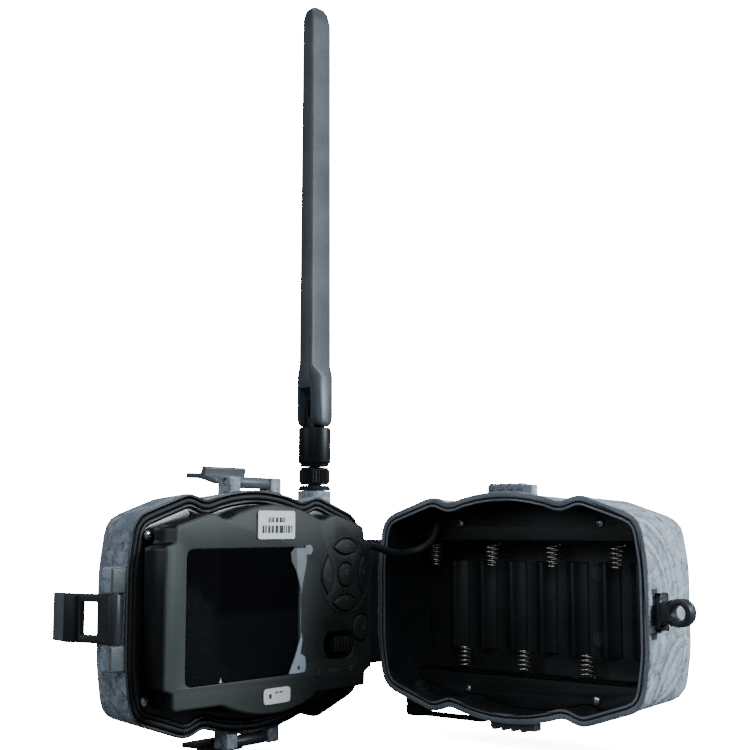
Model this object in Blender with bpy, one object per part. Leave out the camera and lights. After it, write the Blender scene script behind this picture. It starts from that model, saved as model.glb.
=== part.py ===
"""Trail camera: a battery housing and a camera housing on one hinge, modelled open.

Everything is modelled in the closed position, in millimetres, and the camera housing is
then swung open about the hinge. Offsets along Y are measured from the rim plane where the
two housings meet: plus is into the battery housing, minus is into the camera housing.
The origin is on the tree pad, the flat face at the back that bears on the tree.
"""
import math

import bmesh
import bpy
from mathutils import Matrix, Vector

MM = 0.001

# Driving dimensions, in millimetres
CASE_HALF_W = 65.0
CORNER_HALF_W = 62.0
CORNER_Z = 36.0
PEAK_X = 35.2
PEAK_Z = 45.0
NOTCH_X = 27.1
NOTCH_Z = 41.8
ARCH_Z = 46.4
REAR_DEPTH = 44.5
PAD_HEIGHT = 7.0
RIM_GAP = 0.3
FIT_GAP = 0.35

FRONT_DEPTH = 36.0
FRONT_FACE_SCALE = (0.62, 0.85)
PANEL_FACE = 10.4
PANEL_WALL = 2.0
PANEL_SIDE = 1.4
RIM_WIDTH = 5.0
PANEL_SCREW = (55.7, 29.0)
PANEL_FLANGE = -1.0
RIM_LIP = 3.9

CELL_PITCH = 15.1
CELL_COUNT = 8
TRAY_FACE = 20.0
TRAY_WALL = 2.0
BAY_TOP = 26.3
BAY_BOTTOM = -30.5
BAY_FLOOR = 34.6
CELL_AXIS = 27.0

HINGE_X = -70.3
HINGE_Y = -8.2
HINGE_HALF_H = 26.5
KNUCKLE_R = 3.6
KNUCKLE_COUNT = 5
PIN_R = 1.4
PIN_CLEARANCE = 0.3
OPEN_ANGLE = 90.0

HOOK_PIN = (-3.5, 49.2)
HOOK_OPEN_ANGLE = 164.0
CLASP_PIN = (68.2, -2.6)
CLASP_OPEN_ANGLE = 170.0
CLASP_HALF_H = 8.6

ANTENNA_X = -48.0
ANTENNA_Y = -13.0
ANTENNA_R = 6.9
TILT_Z = 82.7
BLADE_TOP = 262.0

LUG_X = 73.7
LUG_Y = 8.8
PLUG_X = -50.0
PLUG_Y = 10.0

RIM_Y = -(REAR_DEPTH + PAD_HEIGHT)


def point(x, y, z):
    """A place in the closed case, y counted from the rim plane, as a vector in metres."""
    return Vector((x, y + RIM_Y, z)) * MM


# ---------------------------------------------------------------- outlines

def inset_corners(corners, distance):
    """Move every edge of an anticlockwise polygon inward by the same distance."""
    moved = []
    count = len(corners)
    for i, corner in enumerate(corners):
        before = Vector(corners[i - 1][:2])
        here = Vector(corner[:2])
        after = Vector(corners[(i + 1) % count][:2])
        first = (here - before).normalized()
        second = (after - here).normalized()
        normal_a = Vector((-first.y, first.x))
        normal_b = Vector((-second.y, second.x))
        bisector = (normal_a + normal_b).normalized()
        reach = distance / max(bisector.dot(normal_a), 0.3)
        turn = first.x * second.y - first.y * second.x
        radius = corner[2] - distance if turn > 0 else corner[2] + distance
        moved.append((here.x + bisector.x * reach, here.y + bisector.y * reach, max(radius, 0.6) if corner[2] else 0))
    return moved


def round_corners(corners, steps=3):
    """Replace each corner (x, z, radius) of a polygon by an arc of that radius."""
    outline = []
    count = len(corners)
    for i, (x, z, radius) in enumerate(corners):
        here = Vector((x, z))
        if radius == 0:
            outline.append((x, z))
            continue
        to_before = Vector(corners[i - 1][:2]) - here
        to_after = Vector(corners[(i + 1) % count][:2]) - here
        half = to_before.angle(to_after) / 2
        tangent = min(radius / math.tan(half), 0.45 * to_before.length, 0.45 * to_after.length)
        start = here + to_before.normalized() * tangent
        end = here + to_after.normalized() * tangent
        for k in range(steps + 1):
            t = k / steps
            mid = start.lerp(here, t).lerp(here.lerp(end, t), t)
            outline.append((mid.x, mid.y))
    return outline


def arch_points(x_from, x_to, z_end, z_top, count):
    """Inner points of a circular arch between two feet at z_end, rising to z_top."""
    half = abs(x_to - x_from) / 2
    middle = (x_from + x_to) / 2
    rise = z_top - z_end
    radius = (half * half + rise * rise) / (2 * abs(rise))
    side = 1 if rise > 0 else -1
    points = []
    for k in range(1, count):
        x = x_from + (x_to - x_from) * k / count
        z = z_top - side * (radius - math.sqrt(radius * radius - (x - middle) ** 2))
        points.append((x, z, 0))
    return points


def case_corners():
    """Corners of the case rim, anticlockwise with X to the right and Z up."""
    upper = [(CASE_HALF_W, 17.0, 60.0), (CORNER_HALF_W, CORNER_Z, 11.0), (PEAK_X, PEAK_Z, 11.0),
             (NOTCH_X, NOTCH_Z, 8.0)]
    arch = arch_points(NOTCH_X, -NOTCH_X, NOTCH_Z, ARCH_Z, 8)
    top = upper + arch + [(-x, z, r) for x, z, r in reversed(upper)]
    return top + [(-x, -z, r) for x, z, r in top]


def case_outline(inset=0.0, scale=(1.0, 1.0)):
    """The rim outline drawn in by inset, then scaled in X and Z."""
    corners = inset_corners(case_corners(), inset)
    return [(x * scale[0], z * scale[1]) for x, z in round_corners(corners)]


def rounded_rectangle(centre, size, radius, steps=3):
    """Outline of a rectangle with round corners."""
    x, z = centre
    w, h = size[0] / 2, size[1] / 2
    corners = [(x + w, z - h, radius), (x + w, z + h, radius), (x - w, z + h, radius), (x - w, z - h, radius)]
    return round_corners(corners, steps)


def circle_outline(centre, radius, sides=24):
    """Outline of a circle."""
    turn = 2 * math.pi / sides
    return [(centre[0] + radius * math.cos(turn * k), centre[1] + radius * math.sin(turn * k))
            for k in range(sides)]


def grow(outline, distance):
    """Outline moved outward by distance, for a flange or a clearance hole."""
    return [(x, z) for x, z, r in inset_corners([(x, z, 0) for x, z in outline], -distance)]


# ---------------------------------------------------------------- scene helpers

def new_collection(name):
    collection = bpy.data.collections.new(name)
    bpy.context.scene.collection.children.link(collection)
    return collection


for old in list(bpy.data.objects):
    bpy.data.objects.remove(old)
PARTS = new_collection("trail_camera")
TOOLS = new_collection("cutters")
PIVOTS = new_collection("pivots")
PLACES = {}


def finish(name, color, roughness, metallic=0.0):
    material = bpy.data.materials.new(name)
    material.use_nodes = True
    shader = material.node_tree.nodes["Principled BSDF"]
    shader.inputs["Base Color"].default_value = (*color, 1.0)
    shader.inputs["Roughness"].default_value = roughness
    shader.inputs["Metallic"].default_value = metallic
    return material


BARK = finish("bark_camouflage", (0.42, 0.45, 0.48), 0.6)
BLACK = finish("black_plastic", (0.012, 0.014, 0.016), 0.45)
PANEL_GREY = finish("panel_grey", (0.06, 0.066, 0.06), 0.5)
RUBBER = finish("black_rubber", (0.01, 0.01, 0.011), 0.75)
STEEL = finish("bright_steel", (0.75, 0.76, 0.78), 0.28, 1.0)
BRASS = finish("brass", (0.72, 0.53, 0.25), 0.35, 1.0)
GLASS = finish("dark_glass", (0.004, 0.004, 0.005), 0.06)
FILM = finish("clear_film", (0.6, 0.62, 0.64), 0.1)
PAPER = finish("white_label", (0.85, 0.87, 0.89), 0.4)
BOARD = finish("circuit_board", (0.02, 0.12, 0.05), 0.5)
LENS_WHITE = finish("frosted_lens", (0.6, 0.62, 0.62), 0.35)


def pivot(name, place, axis="Z", degrees=0.0, parent=None):
    """An empty on a joint's axis, turned to its resting angle."""
    empty = bpy.data.objects.new(name, None)
    PIVOTS.objects.link(empty)
    empty.location = place
    empty.rotation_euler = Matrix.Rotation(math.radians(degrees), 3, axis).to_euler()
    attach(empty, parent)
    PLACES[name] = Vector(place)
    return empty


def attach(obj, parent):
    """Parent an object that is placed in the closed case."""
    if parent is not None:
        obj.parent = parent
        obj.matrix_parent_inverse = Matrix.Translation(-PLACES[parent.name])


def add_mesh(name, bm, material=None, origin=None, parent=None):
    """Object from a mesh drawn in the closed case; without a material it is a cutter."""
    start = origin if origin is not None else Vector((0, 0, 0))
    bmesh.ops.translate(bm, verts=bm.verts, vec=-start)
    bmesh.ops.recalc_face_normals(bm, faces=bm.faces)
    mesh = bpy.data.meshes.new(name)
    bm.to_mesh(mesh)
    bm.free()
    obj = bpy.data.objects.new(name, mesh)
    obj.location = start
    if material is None:
        TOOLS.objects.link(obj)
        obj.hide_render = True
        obj.display_type = "WIRE"
    else:
        PARTS.objects.link(obj)
        mesh.materials.append(material)
        mesh.shade_smooth()
        mesh.set_sharp_from_angle(angle=math.radians(32))
    attach(obj, parent)
    return obj


def box_mesh(low, high, bevel=0.0):
    bm = bmesh.new()
    bmesh.ops.create_cube(bm, size=1.0)
    size = [high[i] - low[i] for i in range(3)]
    centre = point(*[(high[i] + low[i]) / 2 for i in range(3)])
    bmesh.ops.scale(bm, verts=bm.verts, vec=Vector(size) * MM)
    bmesh.ops.translate(bm, verts=bm.verts, vec=centre)
    if bevel:
        bmesh.ops.bevel(bm, geom=bm.edges, offset=bevel * MM, segments=1, affect="EDGES", profile=0.5, material=-1)
    return bm


def box(name, low, high, material=None, bevel=0.0, origin=None, parent=None):
    """Box from its two corners, with an optional chamfer on every edge."""
    return add_mesh(name, box_mesh(low, high, bevel), material, origin, parent)


AXIS_TURN = {"X": Matrix.Rotation(math.pi / 2, 3, "Y"), "Y": Matrix.Rotation(-math.pi / 2, 3, "X"),
             "Z": Matrix.Identity(3)}


def cylinder(name, centre, axis, radius, span, material=None, sides=24, radius_end=None, origin=None,
             parent=None):
    """Cylinder or cone along an axis; span is its two ends, counted from the centre."""
    bm = bmesh.new()
    end = radius if radius_end is None else radius_end
    bmesh.ops.create_cone(bm, cap_ends=True, segments=sides, radius1=radius * MM, radius2=end * MM,
                          depth=(span[1] - span[0]) * MM)
    bmesh.ops.translate(bm, verts=bm.verts, vec=(0, 0, (span[0] + span[1]) / 2 * MM))
    bmesh.ops.rotate(bm, verts=bm.verts, matrix=AXIS_TURN[axis])
    bmesh.ops.translate(bm, verts=bm.verts, vec=point(*centre))
    return add_mesh(name, bm, material, origin, parent)


def loft(name, sections, material=None, origin=None, parent=None):
    """Solid through sections (outline in X and Z, y) that have equal point counts."""
    bm = bmesh.new()
    rings = [[bm.verts.new(point(x, y, z)) for x, z in outline] for outline, y in sections]
    sides = []
    for lower, upper in zip(rings, rings[1:]):
        for i in range(len(lower)):
            sides.append(bm.faces.new((lower[i - 1], lower[i], upper[i], upper[i - 1])))
    if len(sections) > 3:
        bmesh.ops.triangulate(bm, faces=sides)
    bm.faces.new(rings[0])
    bm.faces.new(rings[-1])
    return add_mesh(name, bm, material, origin, parent)


def turned(name, centre, axis, profile, material=None, sides=28, origin=None, parent=None):
    """Turned solid from a profile of (radius, height) that starts and ends on the axis."""
    bm = bmesh.new()
    chain = [bm.verts.new((r * MM, 0, h * MM)) for r, h in profile]
    edges = [bm.edges.new(pair) for pair in zip(chain, chain[1:])]
    bmesh.ops.spin(bm, geom=chain + edges, cent=(0, 0, 0), axis=(0, 0, 1), angle=2 * math.pi, steps=sides,
                   use_merge=True)
    bmesh.ops.remove_doubles(bm, verts=bm.verts, dist=1e-5)
    bmesh.ops.rotate(bm, verts=bm.verts, matrix=AXIS_TURN[axis])
    bmesh.ops.translate(bm, verts=bm.verts, vec=point(*centre))
    return add_mesh(name, bm, material, origin, parent)


def boolean(obj, tool, operation="DIFFERENCE"):
    change = obj.modifiers.new(operation.lower(), "BOOLEAN")
    change.operation = operation
    change.solver = "EXACT"
    change.object = tool


def cut(obj, *tools):
    for tool in tools:
        boolean(obj, tool)


def join(obj, *tools):
    for tool in tools:
        boolean(obj, tool, "UNION")


def tube(name, points, radius, material, parent=None, resolution=2):
    """Wire or cable along a poly line, with flat closed ends, as a mesh."""
    curve = bpy.data.curves.new(name, "CURVE")
    curve.dimensions = "3D"
    curve.bevel_depth = radius * MM
    curve.bevel_resolution = resolution
    curve.use_fill_caps = True
    curve.render_resolution_u = 0
    spline = curve.splines.new("POLY")
    spline.points.add(len(points) - 1)
    for knot, place in zip(spline.points, points):
        knot.co = (*place, 1.0)
    curve.materials.append(material)
    obj = bpy.data.objects.new(name, curve)
    PARTS.objects.link(obj)
    attach(obj, parent)
    return obj


# ---------------------------------------------------------------- pivots

HINGE_PIVOT = pivot("cover_pivot", point(HINGE_X, HINGE_Y, 0), "Z", -OPEN_ANGLE)
CLASP_PIVOT = pivot("clasp_pivot", point(CLASP_PIN[0], CLASP_PIN[1], 0), "Z", -CLASP_OPEN_ANGLE, HINGE_PIVOT)
TOP_PIVOT = pivot("top_hook_pivot", point(0, HOOK_PIN[0], HOOK_PIN[1]), "X", HOOK_OPEN_ANGLE, HINGE_PIVOT)
LOW_PIVOT = pivot("bottom_hook_pivot", point(0, HOOK_PIN[0], -HOOK_PIN[1]), "X", -HOOK_OPEN_ANGLE, HINGE_PIVOT)


# ---------------------------------------------------------------- battery housing

def knuckle_spans():
    """Heights of the hinge knuckles, from the top down."""
    pitch = 2 * HINGE_HALF_H / KNUCKLE_COUNT
    return [(HINGE_HALF_H - pitch * (k + 1) + 0.2, HINGE_HALF_H - pitch * k - 0.2) for k in range(KNUCKLE_COUNT)]


def build_rear_housing():
    """Deep shell with bosses, catches, hinge knuckles, tree pad and strap loops."""
    shell = loft("rear_housing", [
        (case_outline(0.0), RIM_GAP), (case_outline(0.0), 3.2), (case_outline(0.5), 3.4),
        (case_outline(1.6), 37.0), (case_outline(3.0), 41.6), (case_outline(6.6), REAR_DEPTH)], BARK)
    hollow = loft("rear_hollow", [
        (case_outline(RIM_LIP), -1.0), (case_outline(RIM_LIP), 6.0), (case_outline(3.4), 9.0),
        (case_outline(3.4), 38.0),
        (case_outline(7.4), REAR_DEPTH - 2.4)])
    step = loft("rim_step", [(case_outline(RIM_LIP - 1.7), -1.0), (case_outline(RIM_LIP - 1.7), 0.9)])
    step_core = loft("rim_step_core", [(case_outline(RIM_LIP - 1.1), -2.0), (case_outline(RIM_LIP - 1.1), 2.0)])
    cut(step, step_core)
    cut(shell, hollow, step)
    for side in (-1, 1):
        for x, z in ((34.2, 33.7), (31.0, -36.8)):
            boss = cylinder(f"tray_boss_{side}_{z}", (side * x, 0, z), "Y", 3.2,
                            (TRAY_FACE + TRAY_WALL + RIM_GAP, REAR_DEPTH - 2.0), sides=16)
            hole = cylinder(f"tray_boss_hole_{side}_{z}", (side * x, 0, z), "Y", 1.4, (TRAY_FACE, 34.0), sides=12)
            join(shell, boss)
            cut(shell, hole)
    pad = box("tree_pad", (-22, REAR_DEPTH - 1, -20), (22, REAR_DEPTH + PAD_HEIGHT, 20), bevel=1.2)
    join(shell, pad)
    for side in (-1, 1):
        x_low, x_high = sorted((side * 41, side * 48))
        loop = box(f"strap_loop_{side}", (x_low, REAR_DEPTH - 1, -18), (x_high, REAR_DEPTH + PAD_HEIGHT, 18), bevel=1.2)
        gap = box(f"strap_gap_{side}", (x_low - 2, REAR_DEPTH + 0.02, -13.5), (x_high + 2, REAR_DEPTH + 4.6, 13.5))
        join(shell, loop)
        cut(shell, gap)
    for side in (-1, 1):
        z_low, z_high = sorted((side * 44.0, side * 49.4))
        catch = box(f"catch_{side}", (-11, 6, z_low), (11, 11, z_high), bevel=0.5)
        join(shell, catch)
        for k in range(4):
            x = -9.6 + 4.6 * k
            z_low, z_high = sorted((side * 47.0, side * 50.0))
            fin = box(f"catch_fin_{side}_{k}", (x, 5.2, z_low), (x + 2.0, 10.2, z_high), bevel=0.3)
            join(shell, fin)
    for k, (low, high) in enumerate(knuckle_spans()):
        if k % 2 == 0:
            arm = box(f"rear_arm_{k}", (HINGE_X - 3.2, HINGE_Y, low), (-66.0, 8.0, high))
            foot = box(f"rear_foot_{k}", (-67.5, 3.8, low), (-63.4, 8.0, high))
            barrel = cylinder(f"rear_knuckle_{k}", (HINGE_X, HINGE_Y, 0), "Z", KNUCKLE_R, (low, high))
            join(shell, arm, foot, barrel)
    web = box("hinge_web", (HINGE_X - 3.2, -3.8, -HINGE_HALF_H), (-65.3, 6.0, HINGE_HALF_H), bevel=0.4)
    root = box("hinge_root", (-66.5, 0.6, 0.6 - HINGE_HALF_H), (-64.2, 5.4, HINGE_HALF_H - 0.6))
    join(shell, web, root)
    bore = cylinder("rear_pin_bore", (HINGE_X, HINGE_Y, 0), "Z", PIN_R + PIN_CLEARANCE, (-30, 30), sides=16)
    cut(shell, bore)
    insert_boss = cylinder("insert_boss", (0, 29, 0), "Z", 6.4, (-44.5, -35.5), sides=20)
    insert_hole = cylinder("insert_hole", (0, 29, 0), "Z", 4.4, (-50, -37.6), sides=20)
    join(shell, insert_boss)
    cut(shell, insert_hole)
    jack_boss = cylinder("jack_boss", (PLUG_X, PLUG_Y, 0), "Z", 5.6, (-43.6, -36.4))
    jack_hole = cylinder("jack_hole", (PLUG_X, PLUG_Y, 0), "Z", 4.0, (-46, -34))
    join(shell, jack_boss)
    cut(shell, jack_hole)
    return shell


def cell_centre(k):
    return CELL_PITCH * (k - (CELL_COUNT - 1) / 2)


def build_battery_tray():
    """Screwed tray: a flange, a bay for eight cells and the cradle ribs between them."""
    edge = case_outline(3.4 + FIT_GAP)
    reach = CASE_HALF_W + 5
    below = TRAY_FACE + TRAY_WALL
    tray = loft("battery_tray", [(edge, TRAY_FACE), (edge, BAY_FLOOR + TRAY_WALL)], BLACK)
    bay = box("tray_bay", (-reach, TRAY_FACE - 2, BAY_BOTTOM), (reach, BAY_FLOOR, BAY_TOP))
    above = box("tray_relief_top", (-reach, below, BAY_TOP + TRAY_WALL), (reach, BAY_FLOOR + 5, 60))
    under = box("tray_relief_bottom", (-reach, below, -60), (reach, BAY_FLOOR + 5, BAY_BOTTOM - TRAY_WALL))
    cut(tray, bay, above, under)
    for k in range(CELL_COUNT - 1):
        x = (cell_centre(k) + cell_centre(k + 1)) / 2
        rib = cradle_rib(f"cradle_rib_{k}", x)
        join(tray, rib)
    for s in (-1, 1):
        for x, z in ((34.2, 33.7), (31.0, -36.8)):
            hole = cylinder(f"tray_hole_{s}_{z}", (s * x, 0, z), "Y", 1.4, (TRAY_FACE - 1, TRAY_FACE + 4), sides=12)
            cut(tray, hole)
    gland = cylinder("cable_hole", (CABLE_END[0], 0, CABLE_END[2]), "Y", 2.3, (TRAY_FACE - 1, TRAY_FACE + 4), sides=16)
    cut(tray, gland)
    return tray


def cradle_rib(name, x):
    """Upright rib with hollow flanks that two neighbouring cells lie against."""
    radius = CELL_PITCH / 2 - 0.25
    steps = 4
    flank = []
    for k in range(steps + 1):
        angle = math.radians(20 + 50 * k / steps)
        flank.append((CELL_PITCH / 2 - radius * math.sin(angle), CELL_AXIS + radius * math.cos(angle)))
    right = [(dx, y) for dx, y in flank if dx > 0.3]
    outline = [(right[0][0], BAY_FLOOR + 0.6)] + right
    outline += [(-dx, y) for dx, y in reversed(right)] + [(-right[0][0], BAY_FLOOR + 0.6)]
    bm = bmesh.new()
    ring = [bm.verts.new(point(x + dx, y, -20.8)) for dx, y in outline]
    base = bm.faces.new(ring)
    raised = bmesh.ops.extrude_face_region(bm, geom=[base])
    moved = [v for v in raised["geom"] if isinstance(v, bmesh.types.BMVert)]
    bmesh.ops.translate(bm, verts=moved, vec=(0, 0, 38.1 * MM))
    return add_mesh(name, bm)


def build_battery_contacts():
    """Conical springs at alternate ends of the bay, on plates that bridge pairs of cells."""
    inset = 0.4
    plate = 0.5
    for k in range(CELL_COUNT):
        upper = k % 2 == 0
        wall = BAY_TOP if upper else BAY_BOTTOM
        away = -1 if upper else 1
        turns, per_turn, length = 4, 8, 9.2
        base = wall + away * (inset + plate + 0.8)
        path = []
        for i in range(turns * per_turn + 1):
            t = i / (turns * per_turn)
            angle = 2 * math.pi * i / per_turn
            radius = 3.6 - 1.0 * t
            path.append(point(cell_centre(k) + radius * math.cos(angle),
                              CELL_AXIS + radius * math.sin(angle), base + away * length * t))
        tube(f"battery_spring_{k + 1}", path, 0.42, STEEL, resolution=1)
    spans = [(k, k + 1, True) for k in range(0, CELL_COUNT, 2)]
    spans += [(0, 0, False)] + [(k, k + 1, False) for k in range(1, CELL_COUNT - 1, 2)] + [(CELL_COUNT - 1,) * 2 + (False,)]
    for number, (first, last, upper) in enumerate(spans):
        wall = BAY_TOP if upper else BAY_BOTTOM
        away = -1 if upper else 1
        z_low, z_high = sorted((wall + away * inset, wall + away * (inset + plate)))
        box(f"contact_plate_{number + 1}", (cell_centre(first) - 5.5, CELL_AXIS - 5.0, z_low),
            (cell_centre(last) + 5.5, CELL_AXIS + 5.0, z_high), STEEL)


def screw(name, centre, axis, parent=None, flip=1):
    """Pan-head screw: its head stands toward the opening, its shank runs into the boss."""
    profile = [(0, 1.3 * flip), (1.2, 1.3 * flip), (2.0, 0.5 * flip), (2.0, 0), (1.05, 0), (1.05, -6.5 * flip),
               (0, -7.5 * flip)]
    return turned(name, centre, axis, profile, STEEL, sides=16, parent=parent)


def build_tray_screws():
    number = 0
    for s in (-1, 1):
        for x, z in ((34.2, 33.7), (31.0, -36.8)):
            number += 1
            screw(f"tray_screw_{number}", (s * x, TRAY_FACE - RIM_GAP, z), "Y", flip=-1)


def build_rear_fittings():
    """Hinge pin, padlock lug, charging jack, dust plug and tripod insert."""
    cylinder("hinge_pin", (HINGE_X, HINGE_Y, 0), "Z", PIN_R, (-HINGE_HALF_H, HINGE_HALF_H), STEEL, sides=16)
    lug = cylinder("padlock_lug", (LUG_X, LUG_Y, 0), "Y", 5.3, (-3.0, 3.0), BLACK)
    stem = box("lug_stem", (65.5, LUG_Y - 3.0, -4.0), (LUG_X - 2.0, LUG_Y + 3.0, 4.0), bevel=0.4)
    base = box("lug_base", (65.0, LUG_Y - 4.0, -7.0), (66.9, LUG_Y + 4.0, 7.0), bevel=0.4)
    eye = cylinder("lug_eye", (LUG_X, LUG_Y, 0), "Y", 2.95, (-8, 8), sides=20)
    join(lug, stem, base)
    cut(lug, eye)
    jack = cylinder("power_jack", (PLUG_X, PLUG_Y, 0), "Z", 3.7, (-41.4, -33.4), BLACK)
    socket = cylinder("jack_socket", (PLUG_X, PLUG_Y, 0), "Z", 2.7, (-45, -35), sides=16)
    cut(jack, socket)
    insert = cylinder("tripod_insert", (0, 29, 0), "Z", 4.1, (-44.6, -38.0), BRASS, sides=20)
    thread = cylinder("tripod_thread", (0, 29, 0), "Z", 2.7, (-50, -39.0), sides=16)
    cut(insert, thread)


PLUG_HINGE_X = -17.0
PLUG_HINGE_Z = -47.3


def build_dust_plug():
    """Rubber plug on a strap that bends at its fixed end."""
    swing = pivot("dust_plug_pivot", point(PLUG_HINGE_X, PLUG_Y, PLUG_HINGE_Z))
    plug = turned("dust_plug", (PLUG_X, PLUG_Y, 0), "Z",
                  [(0, -35.8), (2.2, -35.8), (2.35, -43.9), (5.4, -43.9), (5.6, -44.6), (5.6, -47.4), (5.0, -48.2),
                   (0, -48.2)], RUBBER, origin=point(PLUG_X, PLUG_Y, -44), parent=swing)
    strap = box("plug_strap", (PLUG_X + 4, PLUG_Y - 2.2, PLUG_HINGE_Z - 0.9),
                (PLUG_HINGE_X + 1.4, PLUG_Y + 2.2, PLUG_HINGE_Z + 0.9), bevel=0.3, parent=swing)
    join(plug, strap)


# ---------------------------------------------------------------- camera housing

def front_sections(inset, y_shift=0.0):
    """Sections of the camera housing, drawn in by inset."""
    face = [(x * (1 - inset / 42.0), z * (1 - inset / 42.0)) for x, z in case_outline(1.6, FRONT_FACE_SCALE)]
    shoulder = case_outline(3.2 + inset, (0.90, 0.98))
    return [(case_outline(1.5 + inset), -17.5), (shoulder, -24.0 + y_shift * 0.5), (face, -FRONT_DEPTH + y_shift)]


def build_front_housing():
    """Shallow shell with a gasket groove, latch brackets, knuckles and window openings."""
    shell = loft("front_housing", [(case_outline(0.0), -RIM_GAP), (case_outline(0.2), -4.0)] + front_sections(0.0),
                 BARK, parent=HINGE_PIVOT)
    for k, (low, high) in enumerate(knuckle_spans()):
        if k % 2 == 1:
            arm = box(f"front_arm_{k}", (HINGE_X, HINGE_Y - 3.2, low), (-63.0, HINGE_Y + 3.2, high), parent=HINGE_PIVOT)
            barrel = cylinder(f"front_knuckle_{k}", (HINGE_X, HINGE_Y, 0), "Z", KNUCKLE_R, (low, high),
                              parent=HINGE_PIVOT)
            join(shell, arm, barrel)
    bore = cylinder("front_pin_bore", (HINGE_X, HINGE_Y, 0), "Z", PIN_R + PIN_CLEARANCE, (-30, 30), sides=16,
                    parent=HINGE_PIVOT)
    cut(shell, bore)
    for side in (-1, 1):
        for end in (-1, 1):
            x_low, x_high = sorted((end * 8.4, end * 14.5))
            z_low, z_high = sorted((side * 43.8, side * 51.4))
            ear = box(f"hook_ear_{side}_{end}", (x_low, -7.8, z_low), (x_high, -0.6, z_high), bevel=0.5,
                      parent=HINGE_PIVOT)
            join(shell, ear)
        hole = cylinder(f"hook_hole_{side}", (0, HOOK_PIN[0], side * HOOK_PIN[1]), "X", 1.4, (-16, 16), sides=12,
                        parent=HINGE_PIVOT)
        cut(shell, hole)
        z_low, z_high = sorted((side * (CLASP_HALF_H + 0.3), side * 18.0))
        ear = box(f"clasp_ear_{side}", (62.5, -6.6, z_low), (71.0, -0.6, z_high), bevel=0.5, parent=HINGE_PIVOT)
        join(shell, ear)
    hole = cylinder("clasp_hole", (CLASP_PIN[0], CLASP_PIN[1], 0), "Z", 1.4, (-17.0, 17.0), sides=12,
                    parent=HINGE_PIVOT)
    cut(shell, hole)
    boss = cylinder("antenna_boss", (ANTENNA_X, ANTENNA_Y, 0), "Z", 7.1, (30.0, 47.2), parent=HINGE_PIVOT)
    boss_hole = cylinder("antenna_boss_hole", (ANTENNA_X, ANTENNA_Y, 0), "Z", 3.3, (26, 50), sides=16,
                         parent=HINGE_PIVOT)
    join(shell, boss)
    cut(shell, boss_hole)
    hollow = loft("front_hollow", [(case_outline(RIM_WIDTH), 1.0), (case_outline(RIM_WIDTH), -17.5)]
                  + front_sections(2.6, 2.4)[1:], parent=HINGE_PIVOT)
    groove = loft("gasket_groove", [(case_outline(1.2), 1.0), (case_outline(1.2), -3.4)], parent=HINGE_PIVOT)
    groove_core = loft("groove_core", [(case_outline(3.9), 2.0), (case_outline(3.9), -5.0)], parent=HINGE_PIVOT)
    cut(groove, groove_core)
    cut(shell, hollow, groove)
    lens_hole = cylinder("lens_opening", (LENS[0], 0, LENS[1]), "Y", LENS_R + FIT_GAP, (-45, -20), sides=28,
                         parent=HINGE_PIVOT)
    cut(shell, lens_hole)
    window = loft("window_pocket", [(grow(window_outline(), FIT_GAP), -FRONT_DEPTH - 3),
                                    (grow(window_outline(), FIT_GAP), -FRONT_DEPTH + 1.2)], parent=HINGE_PIVOT)
    sensor = loft("sensor_opening", [(grow(sensor_outline(), FIT_GAP), -FRONT_DEPTH - 3),
                                     (grow(sensor_outline(), FIT_GAP), -FRONT_DEPTH + 6)], parent=HINGE_PIVOT)
    cut(shell, window, sensor)
    for side in (-1, 1):
        x, z = PANEL_SCREW[0], side * PANEL_SCREW[1]
        post = box(f"panel_post_{side}", (x - 2.4, -15, z - 3), (x + 4.8, -3.6, z + 3), parent=HINGE_PIVOT)
        hole = cylinder(f"panel_post_hole_{side}", (x, 0, z), "Y", 1.4, (-12, 0), sides=12, parent=HINGE_PIVOT)
        join(shell, post)
        cut(shell, hole)
    return shell


LENS = (0.0, -2.0)
LENS_R = 12.5


def window_outline():
    """Infrared window above the lens."""
    return rounded_rectangle((0, 22.4), (50, 17), 5.0)


def sensor_outline():
    """Motion sensor window below the lens."""
    return rounded_rectangle((0, -24.6), (27, 15), 5.0)


def build_gasket():
    """Rubber ring that lies in the groove round the camera housing's rim."""
    ring = loft("gasket", [(case_outline(1.5), -3.1), (case_outline(1.5), -1.0), (case_outline(2.0), -RIM_GAP)], RUBBER,
                parent=HINGE_PIVOT)
    core = loft("gasket_core", [(case_outline(3.6), -5.0), (case_outline(3.6), -1.0), (case_outline(3.0), 0.5)],
                parent=HINGE_PIVOT)
    cut(ring, core)


def panel_outline(inset=0.0):
    """Outline of the control panel's raised box, anticlockwise, drawn in by inset."""
    corners = [(56.2, -25.0, 2.0), (56.2, 25.0, 2.0), (52.0, 26.2, 1.5), (51.8, 32.3, 2.5), (33.0, 37.4, 8.0),
               (26.6, 34.4, 6.0)]
    corners += arch_points(26.6, -27.0, 34.4, 40.6, 8)
    corners += [(-27.0, 34.4, 6.0), (-34.4, 37.4, 8.0), (-53.0, 32.2, 1.5), (-54.0, 26.4, 1.0), (-58.3, 25.2, 1.0),
                (-58.3, -25.4, 1.0), (-54.2, -27.4, 1.0), (-53.8, -32.7, 1.0), (-23.4, -32.7, 1.0),
                (-22.4, -34.4, 2.5)]
    corners += arch_points(-22.4, 23.0, -34.4, -38.4, 6)
    corners += [(23.0, -34.4, 6.0), (27.6, -32.6, 8.0), (51.8, -32.4, 2.0), (52.0, -26.2, 1.5)]
    return round_corners(inset_corners(corners, inset))


PAD_CENTRE = (-41.2, 12.6)
PAD_PETAL_OUT = 14.6
PAD_PETAL_IN = 8.2
PAD_PETAL_HALF = 7.6


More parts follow.
